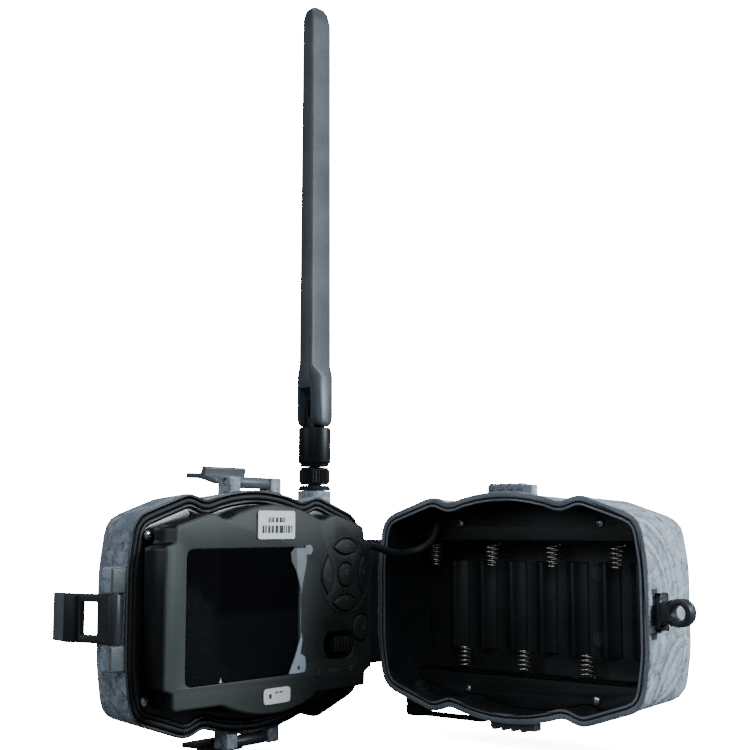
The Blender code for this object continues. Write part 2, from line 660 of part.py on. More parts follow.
def petal_outline(angle):
    """Lens-shaped button of the four-way pad, turned to its side of the pad."""
    steps = 6
    outer = []
    inner = []
    for k in range(steps + 1):
        t = -1 + 2 * k / steps
        bulge = 1 - t * t
        middle = (PAD_PETAL_OUT + PAD_PETAL_IN) / 2
        outer.append((PAD_PETAL_HALF * t, middle - 0.4 + (PAD_PETAL_OUT - middle + 0.4) * bulge))
        inner.append((PAD_PETAL_HALF * t, middle - 0.4 - (middle - 0.4 - PAD_PETAL_IN) * bulge))
    ring = inner + list(reversed(outer))[1:-1]
    c, s = math.cos(math.radians(angle)), math.sin(math.radians(angle))
    return [(PAD_CENTRE[0] + x * c - z * s, PAD_CENTRE[1] + x * s + z * c) for x, z in ring]


def button_outlines():
    """Every push button's name and outline."""
    buttons = {"button_up": petal_outline(0), "button_left": petal_outline(-90), "button_down": petal_outline(180),
               "button_right": petal_outline(90)}
    buttons["button_ok"] = circle_outline(PAD_CENTRE, 4.7, 20)
    buttons["button_round"] = circle_outline((-51.2, -9.2), 5.2, 20)
    return buttons


SLOT_CENTRE = (-37.2, -15.2)
KNOB_X = -39.7
SCREEN_CENTRE = (16.7, -0.2)
SCREEN_SIZE = (59.0, 48.6)


def build_control_panel():
    """Raised panel box on a flange, open at its back, with pocket and button holes."""
    flange_edge = case_outline(RIM_WIDTH + FIT_GAP)
    panel = loft("control_panel", [(flange_edge, PANEL_FLANGE - 2.2), (flange_edge, PANEL_FLANGE)], PANEL_GREY,
                 parent=HINGE_PIVOT)
    outline = panel_outline()
    raised = loft("panel_box", [(outline, PANEL_FLANGE - 2.0), (outline, PANEL_FACE - 0.7),
                                (panel_outline(0.7), PANEL_FACE)], parent=HINGE_PIVOT)
    inside = panel_outline(PANEL_SIDE)
    hollow = loft("panel_hollow", [(inside, PANEL_FLANGE - 6), (inside, PANEL_FACE - PANEL_WALL)],
                  parent=HINGE_PIVOT)
    screen = loft("screen_pocket", [(rounded_rectangle(SCREEN_CENTRE, SCREEN_SIZE, 3.0), PANEL_FACE - 1.6),
                                    (rounded_rectangle(SCREEN_CENTRE, SCREEN_SIZE, 3.0), PANEL_FACE + 2)],
                  parent=HINGE_PIVOT)
    join(panel, raised)
    cut(panel, hollow, screen)
    for name, shape in button_outlines().items():
        hole = loft(f"{name}_hole", [(grow(shape, FIT_GAP), PANEL_FACE - 4), (grow(shape, FIT_GAP), PANEL_FACE + 2)],
                    parent=HINGE_PIVOT)
        cut(panel, hole)
    dish = rounded_rectangle(SLOT_CENTRE, (18.1, 10.9), 5.4, 5)
    recess = loft("switch_dish", [(dish, PANEL_FACE - 1.0), (dish, PANEL_FACE + 2)], parent=HINGE_PIVOT)
    well = rounded_rectangle(SLOT_CENTRE, (15.5, 8.0), 2.0)
    slot = loft("switch_slot", [(well, PANEL_FACE - 4), (well, PANEL_FACE + 2)], parent=HINGE_PIVOT)
    cut(panel, recess, slot)
    for side in (-1, 1):
        x, z = PANEL_SCREW[0], side * PANEL_SCREW[1]
        hole = cylinder(f"panel_hole_{side}", (x, 0, z), "Y", 1.4, (-6, 4), sides=12, parent=HINGE_PIVOT)
        cut(panel, hole)
        screw(f"panel_screw_{(side + 3) // 2}", (x, PANEL_FLANGE + RIM_GAP, z), "Y", parent=HINGE_PIVOT)
    return panel


def build_panel_fittings():
    """Screen, film, labels, circuit board, buttons and the slide switch."""
    top = PANEL_FACE
    glass = rounded_rectangle(SCREEN_CENTRE, (SCREEN_SIZE[0] - 0.6, SCREEN_SIZE[1] - 0.6), 2.7)
    loft("screen_window", [(glass, top - 1.3), (glass, top - 0.2)], GLASS, parent=HINGE_PIVOT)
    film = rounded_rectangle((SCREEN_CENTRE[0] - 2.0, SCREEN_CENTRE[1]), (63.0, 48.0), 2.0)
    loft("screen_film", [(film, top + 0.3), (film, top + 0.6)], FILM, parent=HINGE_PIVOT)
    for name, centre, size, radius in (("upper_label", (0.4, 32.8), (20.6, 10.8), 1.0),
                                       ("lower_label", (-0.6, -31.6), (14.6, 5.8), 1.6)):
        shape = rounded_rectangle(centre, size, radius)
        loft(name, [(shape, top + 0.3), (shape, top + 0.55)], PAPER, parent=HINGE_PIVOT)
    box("main_board", (-50, 1.0, -29), (48, 2.6, 29), BOARD, parent=HINGE_PIVOT)
    for name, shape in button_outlines().items():
        wide = grow(shape, 0.5)
        low = top - PANEL_WALL - 1.4
        flange_top = top - PANEL_WALL - 0.3
        loft(name, [(wide, low), (wide, flange_top), (shape, flange_top), (shape, top + 0.2), (grow(shape, -0.4), top + 0.6)],
             BLACK, origin=point(shape[0][0], top, shape[0][1]), parent=HINGE_PIVOT)
    x, z = KNOB_X, SLOT_CENTRE[1]
    knob = box("slide_switch", (x - 4.5, top - 5.0, z - 3.2), (x + 4.5, top - 0.4, z + 3.2), BLACK, bevel=0.3,
               origin=point(x, top, z), parent=HINGE_PIVOT)
    for k in range(4):
        left = x - 3.5 + 2.0 * k
        grip = box(f"switch_grip_{k}", (left, top - 1.0, z - 3.0), (left + 1.0, top + 0.5, z + 3.0), bevel=0.2,
                   parent=HINGE_PIVOT)
        join(knob, grip)


def build_optics():
    """Lens barrel and glass, infrared window and motion sensor lens."""
    y = -FRONT_DEPTH
    turned("lens_barrel", (LENS[0], 0, LENS[1]), "Y",
           [(0, -18.0), (8.0, -18.0), (8.0, -26.0), (LENS_R, -26.0), (LENS_R, y - 3.4), (LENS_R - 1.0, y - 4.4), (10.4, y - 4.4),
            (8.6, y - 1.2), (0, y - 1.2)], BLACK, parent=HINGE_PIVOT)
    turned("lens_glass", (LENS[0], 0, LENS[1]), "Y",
           [(0, y - 1.5), (8.0, y - 1.5), (7.4, y - 2.0), (5.4, y - 2.6), (3.0, y - 3.0), (0, y - 3.15)], GLASS,
           parent=HINGE_PIVOT)
    window = window_outline()
    loft("infrared_window", [(grow(window, -0.6), y - 0.7), (window, y - 0.2), (window, y + 0.9)], GLASS,
         parent=HINGE_PIVOT)
    sensor = sensor_outline()
    loft("sensor_lens", [(grow(sensor, -4.5), y - 3.4), (grow(sensor, -2.2), y - 2.8), (grow(sensor, -0.6), y - 1.4),
                         (sensor, y), (sensor, y + 2.0)], LENS_WHITE, parent=HINGE_PIVOT)


def build_hook(name, parent, side):
    """Hook lever of the top or the bottom latch, drawn closed."""
    y, z = HOOK_PIN[0], HOOK_PIN[1]

    def across(low, high):
        return sorted((side * low, side * high))

    barrel = cylinder(name, (0, y, side * z), "X", 2.3, (-8.0, 8.0), BLACK, sides=20,
                      origin=point(0, y, side * z), parent=parent)
    bottom, top = across(50.1, 51.5)
    web = box(f"{name}_web", (-8.0, y, bottom), (8.0, 6.0, top), parent=parent)
    bottom, top = across(50.1, 52.2)
    plate = box(f"{name}_plate", (-11.6, 5.0, bottom), (11.6, 14.6, top), bevel=0.4, parent=parent)
    rib_bottom, rib_top = across(47.0, 51.0)
    rib = box(f"{name}_rib", (-11.6, 11.6, rib_bottom), (11.6, 13.9, rib_top), bevel=0.4, parent=parent)
    tab = box_mesh((-11.6, 13.4, bottom), (11.6, 22.0, top), 0.4)
    lift = Matrix.Rotation(math.radians(side * 13), 3, "X")
    bmesh.ops.rotate(tab, verts=tab.verts, cent=point(0, 13.8, side * 51.0), matrix=lift)
    grip = add_mesh(f"{name}_tab", tab, parent=parent)
    join(barrel, web, plate, rib, grip)
    hole = cylinder(f"{name}_bore", (0, y, side * z), "X", 1.1 + PIN_CLEARANCE, (-9, 9), sides=12, parent=parent)
    cut(barrel, hole)


def build_clasp():
    """Side clasp with the window that drops over the padlock lug, drawn closed."""
    x, y = CLASP_PIN
    barrel = cylinder("side_clasp", (x, y, 0), "Z", 2.6, (-CLASP_HALF_H, CLASP_HALF_H), BLACK, sides=20, origin=point(x, y, 0),
                      parent=CLASP_PIVOT)
    plate = box("clasp_plate", (67.7, y, -CLASP_HALF_H), (70.2, 20.0, CLASP_HALF_H), bevel=0.4, parent=CLASP_PIVOT)
    ridge = box("clasp_ridge", (65.7, 13.2, -CLASP_HALF_H), (70.2, 19.0, CLASP_HALF_H), bevel=0.8, parent=CLASP_PIVOT)
    rib = box("clasp_rib", (69.0, 2.0, -CLASP_HALF_H), (71.0, 3.2, CLASP_HALF_H), bevel=0.3, parent=CLASP_PIVOT)
    tab = box_mesh((67.8, 19.2, -CLASP_HALF_H), (70.2, 28.0, CLASP_HALF_H), 0.4)
    bmesh.ops.rotate(tab, verts=tab.verts, cent=point(69.0, 19.4, 0), matrix=Matrix.Rotation(math.radians(-18), 3, "Z"))
    grip = add_mesh("clasp_tab", tab, parent=CLASP_PIVOT)
    window = box("clasp_window", (60, 4.7, -5.75), (75, 12.3, 5.75), parent=CLASP_PIVOT)
    bore = cylinder("clasp_bore", (x, y, 0), "Z", 1.1 + PIN_CLEARANCE, (-12, 12), sides=12, parent=CLASP_PIVOT)
    join(barrel, plate, ridge, rib, grip)
    cut(barrel, window, bore)


def build_latches():
    build_hook("top_hook", TOP_PIVOT, 1)
    build_hook("bottom_hook", LOW_PIVOT, -1)
    build_clasp()
    for name, side in (("top_hook_pin", 1), ("bottom_hook_pin", -1)):
        cylinder(name, (0, HOOK_PIN[0], side * HOOK_PIN[1]), "X", 1.1, (-13.8, 13.8), STEEL, sides=12,
                 parent=HINGE_PIVOT)
    cylinder("clasp_pin", (CLASP_PIN[0], CLASP_PIN[1], 0), "Z", 1.1, (-16.6, 16.6), STEEL, sides=12,
             parent=HINGE_PIVOT)


# ---------------------------------------------------------------- antenna

def build_antenna():
    """Threaded socket, knurled nut, swivel and folding blade."""
    base = (ANTENNA_X, ANTENNA_Y, 0)
    axis_place = point(ANTENNA_X, ANTENNA_Y, 60)
    spin = pivot("antenna_pivot", axis_place, parent=HINGE_PIVOT)
    tilt = pivot("blade_pivot", point(ANTENNA_X, ANTENNA_Y, TILT_Z), parent=spin)
    turned("antenna_socket", base, "Z",
           [(0, 57.0), (2.9, 57.0), (2.9, 49.4), (6.2, 49.4), (7.0, 48.0), (7.0, 47.5), (3.0, 47.5), (3.0, 40.0),
            (0, 40.0)], BRASS, sides=20, parent=HINGE_PIVOT)
    nut = cylinder("antenna_nut", base, "Z", 6.6, (49.8, 57.2), BLACK, sides=32, origin=axis_place, parent=HINGE_PIVOT)
    nut_bore = cylinder("antenna_nut_bore", base, "Z", 3.3, (48, 60), sides=16, parent=HINGE_PIVOT)
    cut(nut, nut_bore)
    swivel = turned("antenna_swivel", base, "Z",
                    [(0, 74.2), (6.6, 74.2), (ANTENNA_R, 73.8), (ANTENNA_R, 59.3), (6.5, 58.9), (6.0, 58.9), (6.0, 57.6), (0, 57.6)],
                    BLACK, origin=axis_place, parent=spin)
    x, y = ANTENNA_X, ANTENNA_Y
    tongue = box("swivel_tongue", (x - 3.4, y - 2.7, 73.0), (x + 3.4, y + 2.7, TILT_Z), parent=spin)
    crown = cylinder("tongue_crown", (x, y, TILT_Z), "Y", 3.4, (-2.7, 2.7), parent=spin)
    notch = box("tongue_notch", (x - 5, y - 1.25, 79.0), (x + 5, y + 1.25, 90), parent=spin)
    hole = cylinder("tongue_hole", (x, y, TILT_Z), "Y", 1.6, (-5, 5), sides=12, parent=spin)
    join(swivel, tongue, crown)
    cut(swivel, notch, hole)
    build_blade(tilt)


def blade_section(half_w, half_t, round_share, sides=6):
    """Cross-section of the blade: a rectangle whose corners are rounded by a share."""
    radius = min(half_w, half_t) * round_share
    corners = [(half_w, -half_t, radius), (half_w, half_t, radius), (-half_w, half_t, radius), (-half_w, -half_t, radius)]
    return round_corners(corners, sides)


def build_blade(tilt):
    """Blade lofted from a round foot to a flat paddle with a round tip."""
    stations = [(74.7, 2.4, 6.2, 0.6), (75.5, 4.0, 6.8, 0.7), (76.7, 5.5, 6.9, 0.8), (78.4, 6.9, 6.9, 0.98), (96.0, 6.9, 6.9, 0.98), (101.0, 6.9, 3.7, 0.55),
                (170.0, 6.8, 3.4, 0.45), (255.0, 6.4, 3.0, 0.5), (259.5, 5.2, 2.5, 0.6), (261.4, 3.2, 1.8, 0.7),
                (BLADE_TOP, 1.2, 0.8, 0.8)]
    bm = bmesh.new()
    rings = []
    for z, half_w, half_t, share in stations:
        outline = blade_section(half_w, half_t, share)
        rings.append([bm.verts.new(point(ANTENNA_X + u, ANTENNA_Y + t, z)) for u, t in outline])
    for lower, upper in zip(rings, rings[1:]):
        for i in range(len(lower)):
            bm.faces.new((lower[i - 1], lower[i], upper[i], upper[i - 1]))
    bm.faces.new(rings[0])
    bm.faces.new(rings[-1])
    blade = add_mesh("antenna_blade", bm, BLACK, point(ANTENNA_X, ANTENNA_Y, TILT_Z), tilt)
    slot = box("blade_slot", (ANTENNA_X - 9, ANTENNA_Y - 3.1, 70), (ANTENNA_X + 9, ANTENNA_Y + 3.1, 91), parent=tilt)
    pin = cylinder("blade_pin", (ANTENNA_X, ANTENNA_Y, TILT_Z), "Y", 1.25, (-6.0, 6.0), sides=16, parent=tilt)
    cut(blade, slot)
    join(blade, pin)


# ---------------------------------------------------------------- cable between the housings

CABLE_R = 1.7
CABLE_END = (-45.0, 20.0, 36.0)
CABLE_ROUTE = [(-53.9, -19.9, 24.3), (-54.5, -16.0, 23.8), (-55.2, -11.0, 23.1), (-55.7, -7.0, 22.2),
               (-56.4, -2.0, 21.1), (-56.4, 3.0, 20.7), (-56.3, 7.0, 20.7), (-55.3, 10.5, 21.1),
               (-53.6, 13.0, 21.8), (-51.6, 14.8, 22.9), (-49.2, 16.0, 24.7), (-47.0, 16.6, 27.1),
               (-45.8, 17.0, 30.0), (-45.3, 17.5, 33.2), (-45.0, 19.2, 35.6),
               (-45.0, 21.0, 36.0), (-45.0, 24.0, 36.0)]


def smooth_route(knots, per_span):
    """Points of a Catmull-Rom curve through the knots."""
    padded = [knots[0]] + list(knots) + [knots[-1]]
    route = []
    for a, b, c, d in zip(padded, padded[1:], padded[2:], padded[3:]):
        for k in range(per_span):
            t = k / per_span
            place = [0.5 * (2 * b[i] + (c[i] - a[i]) * t + (2 * a[i] - 5 * b[i] + 4 * c[i] - d[i]) * t * t
                            + (3 * b[i] - a[i] - 3 * c[i] + d[i]) * t ** 3) for i in range(3)]
            route.append(point(*place))
    route.append(point(*knots[-1]))
    return route


def build_cable():
    """Power lead from the battery tray to the control panel, slack across the hinge."""
    tube("power_cable", smooth_route(CABLE_ROUTE, 2), CABLE_R, RUBBER)


build_rear_housing()
build_battery_tray()
build_battery_contacts()
build_tray_screws()
build_rear_fittings()
build_dust_plug()
build_front_housing()
build_gasket()
build_control_panel()
build_panel_fittings()
build_optics()
build_latches()
build_antenna()
build_cable()
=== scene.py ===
"""Looks for an open trail camera: bark-printed housings, battery bay, control panel and antenna."""
from functools import reduce
import math

import bmesh
import bpy
from mathutils import Matrix, Vector


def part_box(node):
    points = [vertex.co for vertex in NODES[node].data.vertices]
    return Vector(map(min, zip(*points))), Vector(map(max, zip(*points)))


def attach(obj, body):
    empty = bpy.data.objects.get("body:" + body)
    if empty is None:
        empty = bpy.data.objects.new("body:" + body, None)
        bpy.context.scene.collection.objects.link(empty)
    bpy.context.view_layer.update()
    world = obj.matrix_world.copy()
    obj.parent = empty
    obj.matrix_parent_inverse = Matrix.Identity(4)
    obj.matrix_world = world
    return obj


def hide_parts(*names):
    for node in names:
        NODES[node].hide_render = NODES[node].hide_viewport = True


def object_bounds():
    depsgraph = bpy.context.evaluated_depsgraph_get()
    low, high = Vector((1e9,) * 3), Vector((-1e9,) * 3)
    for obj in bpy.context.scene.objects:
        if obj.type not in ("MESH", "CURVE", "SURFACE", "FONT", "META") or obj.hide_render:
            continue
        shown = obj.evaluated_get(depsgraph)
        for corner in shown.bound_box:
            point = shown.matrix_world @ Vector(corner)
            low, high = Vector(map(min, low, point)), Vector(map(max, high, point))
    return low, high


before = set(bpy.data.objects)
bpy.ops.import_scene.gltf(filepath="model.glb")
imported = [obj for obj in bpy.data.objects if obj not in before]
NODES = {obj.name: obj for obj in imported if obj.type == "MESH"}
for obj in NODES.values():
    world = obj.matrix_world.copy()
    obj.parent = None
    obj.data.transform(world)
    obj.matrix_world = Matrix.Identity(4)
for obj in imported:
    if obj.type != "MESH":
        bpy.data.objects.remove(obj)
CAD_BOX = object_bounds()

bl_info = {
    "name": "Trail Camera Looks",
    "version": (1, 0, 0),
    "blender": (4, 5, 0),
    "location": "View3D > Sidebar > Trail Camera",
    "description": "Dresses the trail camera's frame with finished pieces, materials and a studio",
    "category": "Object",
}

MM = 0.001
WHITE = 40.0  # strength that the camera sees as pure white

# Places shared by several pieces. Plans are drawn with the case closed, in millimetres:
# across, depth from the rim plane (plus is into the battery housing) and height.
RIM_Y = -51.5
COVER = Matrix(((0, 1, 0, -62.1), (-1, 0, 0, -130.0), (0, 0, 1, 0), (0, 0, 0, 1)))
UNCOVER = COVER.inverted()
TO_METRES = Matrix.Scale(MM, 4)
HINGE_SIDE = -65.2
HINGE_REACH = 28
PANEL_FACE = 10.4
PAD_CENTRE = (-41.2, 12.6)
ANTENNA_AXIS = (-48.0, -13.0)
CELL_PITCH = 15.1
CELL_COUNT = 8
CELL_AXIS = 27.0
CABLE_WIDTH = 3.4
CABLE_ROUTE = [(-53.9, -19.9, 24.3), (-54.5, -16.0, 23.8), (-55.2, -11.0, 23.1), (-55.7, -7.0, 22.2),
               (-56.4, -2.0, 21.1), (-56.4, 3.0, 20.7), (-56.3, 7.0, 20.7), (-55.3, 10.5, 21.1),
               (-53.6, 13.0, 21.8), (-51.6, 14.8, 22.9), (-49.2, 16.0, 24.7), (-47.0, 16.6, 27.1),
               (-45.8, 17.0, 30.0), (-45.3, 17.5, 33.2), (-45.0, 19.2, 35.6),
               (-45.0, 21.0, 36.0), (-45.0, 24.0, 36.0)]

# Printed marks on the cover's controls: kind, across, up, width or diameter, height or line.
PANEL_MARKS = [("bar", -24.9, -25.0, 0.45, 2.0), ("bar", -30.9, -25.0, 0.4, 1.3),
               ("bar", -32.7, -25.0, 0.4, 1.3), ("bar", -34.5, -25.0, 0.4, 2.0),
               ("bar", -36.3, -25.0, 0.4, 1.3), ("bar", -38.1, -25.0, 0.4, 1.3),
               ("ring", -44.7, -25.0, 1.7, 0.4), ("bar", -41.5, 24.3, 1.8, 0.35),
               ("bar", -30.5, 11.0, 0.35, 1.8), ("ring", -41.2, 13.6, 1.6, 0.3),
               ("bar", -52.4, 13.4, 0.35, 1.8), ("bar", -41.2, 3.0, 1.8, 0.35),
               ("ring", -52.0, -9.1, 1.3, 0.3)]

# Pale lens-shaped slivers on the panel's flange: across, up, half width, half height and slope.
FLANGE_SLIVERS = [(39.5, 35.5, 9.6, 1.5, -0.171), (10.0, 39.3, 8.6, 1.0, -0.15)]

# Ejector pin marks in the tray: across, up, diameter and line.
EJECTOR_MARKS = [(24.6, 12.7, 3.2, 3.2), (41.0, -0.8, 6.45, 0.35), (24.6, -14.0, 3.2, 3.2)]

# Lifted parts of the screen's film: lowest and highest place, then the left and right sides as
# (share of the height, place across). No side lies further across than FILM_REACH.
FILM_REACH = 25
FILM_PATCHES = [(6.3, 24.9, ([(0.0, -13.7), (0.22, -12.6), (0.47, -10.7), (0.65, -8.2), (0.84, -7.6),
                              (0.97, -10.2)],
                             [(0.0, -14.0), (0.22, -14.8), (0.60, -16.7), (0.80, -17.3), (0.97, -17.0)])),
                (-24.9, -8.9, ([(0.0, -6.6), (0.25, -8.7), (0.42, -10.3), (0.71, -12.3), (0.90, -13.6),
                                (1.0, -14.0)],
                               [(0.0, -16.2), (0.20, -16.8), (0.42, -16.2), (0.50, -13.6), (0.80, -14.6),
                                (1.0, -14.2)]))]

# Moulded ridges on the battery housing's free side, with a painted highlight on each crest and painted
# shade beside it: centre and radius of each arc, then the middle and the reach of the part that shows, all in
# depth and height.
BARK_RIDGES = [(-58.0, 5.0, 32.0, -34.0, 24.0, 24.0), (-60.0, 3.0, 26.0, -38.0, 20.0, 20.0),
               (-12.7, -38.2, 28.0, -28.5, -23.0, 18.0), (-44.3, -7.8, 28.0, -28.5, -23.0, 18.0)]

# Slots and the lug's mount on the battery housing's free side, painted dark as painted shade: depth, height and
# the size along each.
SIDE_SLOT_SHADES = [(5.7, 7.7, 6.0, 2.2), (4.7, -8.8, 5.9, 2.6), (6.4, -1.1, 9.8, 7.6)]

# Studio lights: name, place, size and power.
LIGHTS = [("rear_softbox", (1.00, 0.62, 0.46), 0.42, 19), ("key_softbox", (0.60, -1.00, 0.75), 0.7, 3.6),
          ("top_softbox", (0.10, 0.05, 1.1), 0.8, 5), ("front_softbox", (-0.38, -0.95, 0.40), 0.6, 1.6)]


# ---------------------------------------------------------------- settings

def colour(name, value, description):
    return bpy.props.FloatVectorProperty(name=name, description=description, subtype="COLOR", size=4,
                                         min=0, max=1, default=(*value, 1.0))


def length(name, millimetres, description):
    return bpy.props.FloatProperty(name=name, description=description, default=millimetres * MM, min=0,
                                   subtype="DISTANCE", unit="LENGTH")


class BarkSettings(bpy.types.PropertyGroup):
    pale: colour("Pale bark", (0.60, 0.68, 0.77), "Lightest print colour")
    middle: colour("Middle bark", (0.33, 0.385, 0.45), "Print colour between the fissures")
    dark: colour("Fissures", (0.10, 0.12, 0.145), "Darkest print colour")
    patch: length("Patch size", 11, "Width of one bark patch")
    relief: length("Relief", 0.25, "Depth of the moulded bark")


class PlasticSettings(bpy.types.PropertyGroup):
    black: colour("Latch black", (0.026, 0.030, 0.034), "Latches, hinge and lens ring")
    tray: colour("Tray black", (0.0165, 0.0180, 0.0198), "Battery tray and the insides of the housings")
    blade: colour("Antenna black", (0.058, 0.066, 0.076), "Antenna blade")
    panel: colour("Panel grey", (0.036, 0.041, 0.039), "Control panel")
    lip: colour("Rim grey", (0.19, 0.21, 0.235), "Unprinted rims of the housings")
    rubber: colour("Rubber", (0.006, 0.006, 0.007), "Gasket and plug")
    soften: length("Edge radius", 0.3, "Rounding of moulded edges")


class SpringSettings(bpy.types.PropertyGroup):
    wire: length("Wire", 0.7, "Diameter of the spring wire")
    wide: length("Wide end", 7.2, "Coil diameter at the wall")
    narrow: length("Narrow end", 5.4, "Coil diameter at the cell")
    turns: bpy.props.IntProperty(name="Turns", description="Turns in each spring", default=5, min=2, max=9)


class StudioSettings(bpy.types.PropertyGroup):
    eye: bpy.props.FloatVectorProperty(name="Camera place", description="Place of the camera", size=3,
                                       subtype="TRANSLATION", unit="LENGTH", default=(0.2918, -0.4942, 0.0321))
    turn: bpy.props.FloatProperty(name="Azimuth", description="Camera's turn about the vertical", subtype="ANGLE",
                                  default=math.radians(38.98))
    pitch: bpy.props.FloatProperty(name="Pitch", description="Camera's tilt upwards", subtype="ANGLE",
                                   default=math.radians(6.73))
    lens: bpy.props.FloatProperty(name="Lens", description="Focal length in millimetres", min=1,
                                  default=61.7)
    backdrop: colour("Backdrop", (1.0, 1.0, 1.0), "Floor and surroundings")


# ---------------------------------------------------------------- shader maths

class Wire:
    """A shader socket; arithmetic on it adds Math nodes, and node() adds any other node."""

    def __init__(self, tree, socket=None):
        self.tree = tree
        self.socket = socket

    def node(self, kind, sockets=(), output=0, stops=(), **settings):
        """A node of that type with its settings, ramp stops and socket values or links."""
        made = self.tree.nodes.new(kind)
        for name, value in settings.items():
            setattr(made, name, value)
        for k, (place, shade) in enumerate(stops):
            stop = made.color_ramp.elements[k] if k < 2 else made.color_ramp.elements.new(place)
            stop.position = place
            stop.color = (*shade, 1.0) if isinstance(shade, tuple) else (shade, shade, shade, 1.0)
        for key, value in dict(sockets).items():
            if isinstance(value, Wire):
                self.tree.links.new(value.socket, made.inputs[key])
            else:
                made.inputs[key].default_value = value
        return Wire(self.tree, made.outputs[output])

    def maths(self, operation, first, second=0.0):
        return self.node("ShaderNodeMath", {0: first, 1: second}, operation=operation)

    def __add__(self, other):
        return self.maths("ADD", self, other)

    __radd__ = __add__

    def __sub__(self, other):
        return self.maths("SUBTRACT", self, other)

    def __rsub__(self, other):
        return self.maths("SUBTRACT", other, self)

    def __mul__(self, other):
        return self.maths("MULTIPLY", self, other)

    __rmul__ = __mul__

    def __truediv__(self, other):
        return self.maths("DIVIDE", self, other)

    def __pow__(self, other):
        return self.maths("POWER", self, other)

    def absolute(self):
        return self.maths("ABSOLUTE", self)

    def least(self, other):
        return self.maths("MINIMUM", self, other)

    def most(self, other):
        return self.maths("MAXIMUM", self, other)

    def step(self, low, high):
        """0 below low and 1 above high, smooth between."""
        return self.node("ShaderNodeMapRange", {"Value": self, "From Min": low, "From Max": high},
                         interpolation_type="SMOOTHSTEP")

    def blend(self, low, high):
        """Colour low where this is 0 and colour high where it is 1."""
        low, high = [(*c, 1.0) if isinstance(c, tuple) and len(c) == 3 else c for c in (low, high)]
        return self.node("ShaderNodeMix", {0: self, 6: low, 7: high}, output=2, data_type="RGBA")


class Finish:
    """A material: its Principled shader, its object coordinates and its patterns."""

    def __init__(self, name, base, roughness, **constants):
        self.material = bpy.data.materials.new(name)
        self.material.use_nodes = True
        self.material.diffuse_color = tuple(base[:3]) + (1.0,)
        self.tree = self.material.node_tree
        self.shader = self.tree.nodes["Principled BSDF"]
        self.wire = Wire(self.tree)
        self.place = self.wire.node("ShaderNodeTexCoord", output=3)
        self.shader.inputs["Base Color"].default_value = tuple(base[:3]) + (1.0,)
        self.shader.inputs["Roughness"].default_value = roughness
        for key, value in constants.items():
            self.shader.inputs[key.replace("_", " ")].default_value = value

    def set(self, key, wire):
        """Links a wire to the shader's socket."""
        self.tree.links.new(wire.socket, self.shader.inputs[key])
        return self

    def axes(self):
        """The object coordinates as three separate wires."""
        return [self.wire.node("ShaderNodeSeparateXYZ", {0: self.place}, output=k) for k in range(3)]

    def cover_plan(self):
        """Places across and up the cover's inner face, in metres."""
        _, along, up = self.axes()
        return COVER[1][3] * MM - along, up

    def warped(self, scale, amount):
        """Object coordinates pushed about by slow noise."""
        slow = {"Vector": self.place, "Scale": scale, "Detail": 2.0}
        warp = self.wire.node("ShaderNodeTexNoise", slow, output=1)
        push = self.wire.node("ShaderNodeVectorMath", {0: warp, 1: (amount,) * 3}, operation="MULTIPLY")
        return self.wire.node("ShaderNodeVectorMath", {0: self.place, 1: push}, operation="ADD")

    def stretched(self, scale):
        """Object coordinates scaled by three factors."""
        return self.wire.node("ShaderNodeMapping", {"Vector": self.place, "Scale": scale})

    def noise(self, size, detail=3.0, rough=0.55, place=None, distortion=0.0):
        """Noise from 0 to 1 whose patches are about size metres."""
        return self.wire.node("ShaderNodeTexNoise", {"Vector": place or self.place, "Scale": 1 / size,
                                                     "Detail": detail, "Roughness": rough,
                                                     "Distortion": distortion}, output=0)

    def cells(self, size, feature, place=None):
        """Cells of about size metres; the feature says what is measured in them."""
        return self.wire.node("ShaderNodeTexVoronoi", {"Vector": place or self.place, "Scale": 1 / size},
                              feature=feature)

    def bump(self, height, distance, strength=1.0):
        """Relief of height times distance metres."""
        made = self.wire.node("ShaderNodeBump", {"Height": height, "Distance": distance, "Strength": strength})
        return self.set("Normal", made)


def plastic(name):
    """A plastic's colour from the settings."""
    return tuple(getattr(bpy.context.scene.plastic_settings, name)[:3])


# ---------------------------------------------------------------- drawn marks

def reach(across, up, x, z):
    """Distance in metres from a centre given in millimetres."""
    return ((across - x * MM) ** 2 + (up - z * MM) ** 2) ** 0.5


def bar(across, up, x, z, wide, high):
    """How deep inside a rectangle a place is; above 0 is inside."""
    return (wide / 2 * MM - (across - x * MM).absolute()).least(high / 2 * MM - (up - z * MM).absolute())


def ring(across, up, x, z, wide, line):
    """How deep inside a ring's line a place is; above 0 is inside."""
    return line / 2 * MM - (reach(across, up, x, z) - wide / 2 * MM).absolute()


def union(marks):
    return reduce(Wire.most, marks)


def shades(tone, *factors):
    """The same colour made darker or lighter by each factor."""
    return [tuple(c * factor for c in tone) for factor in factors]


# ---------------------------------------------------------------- materials

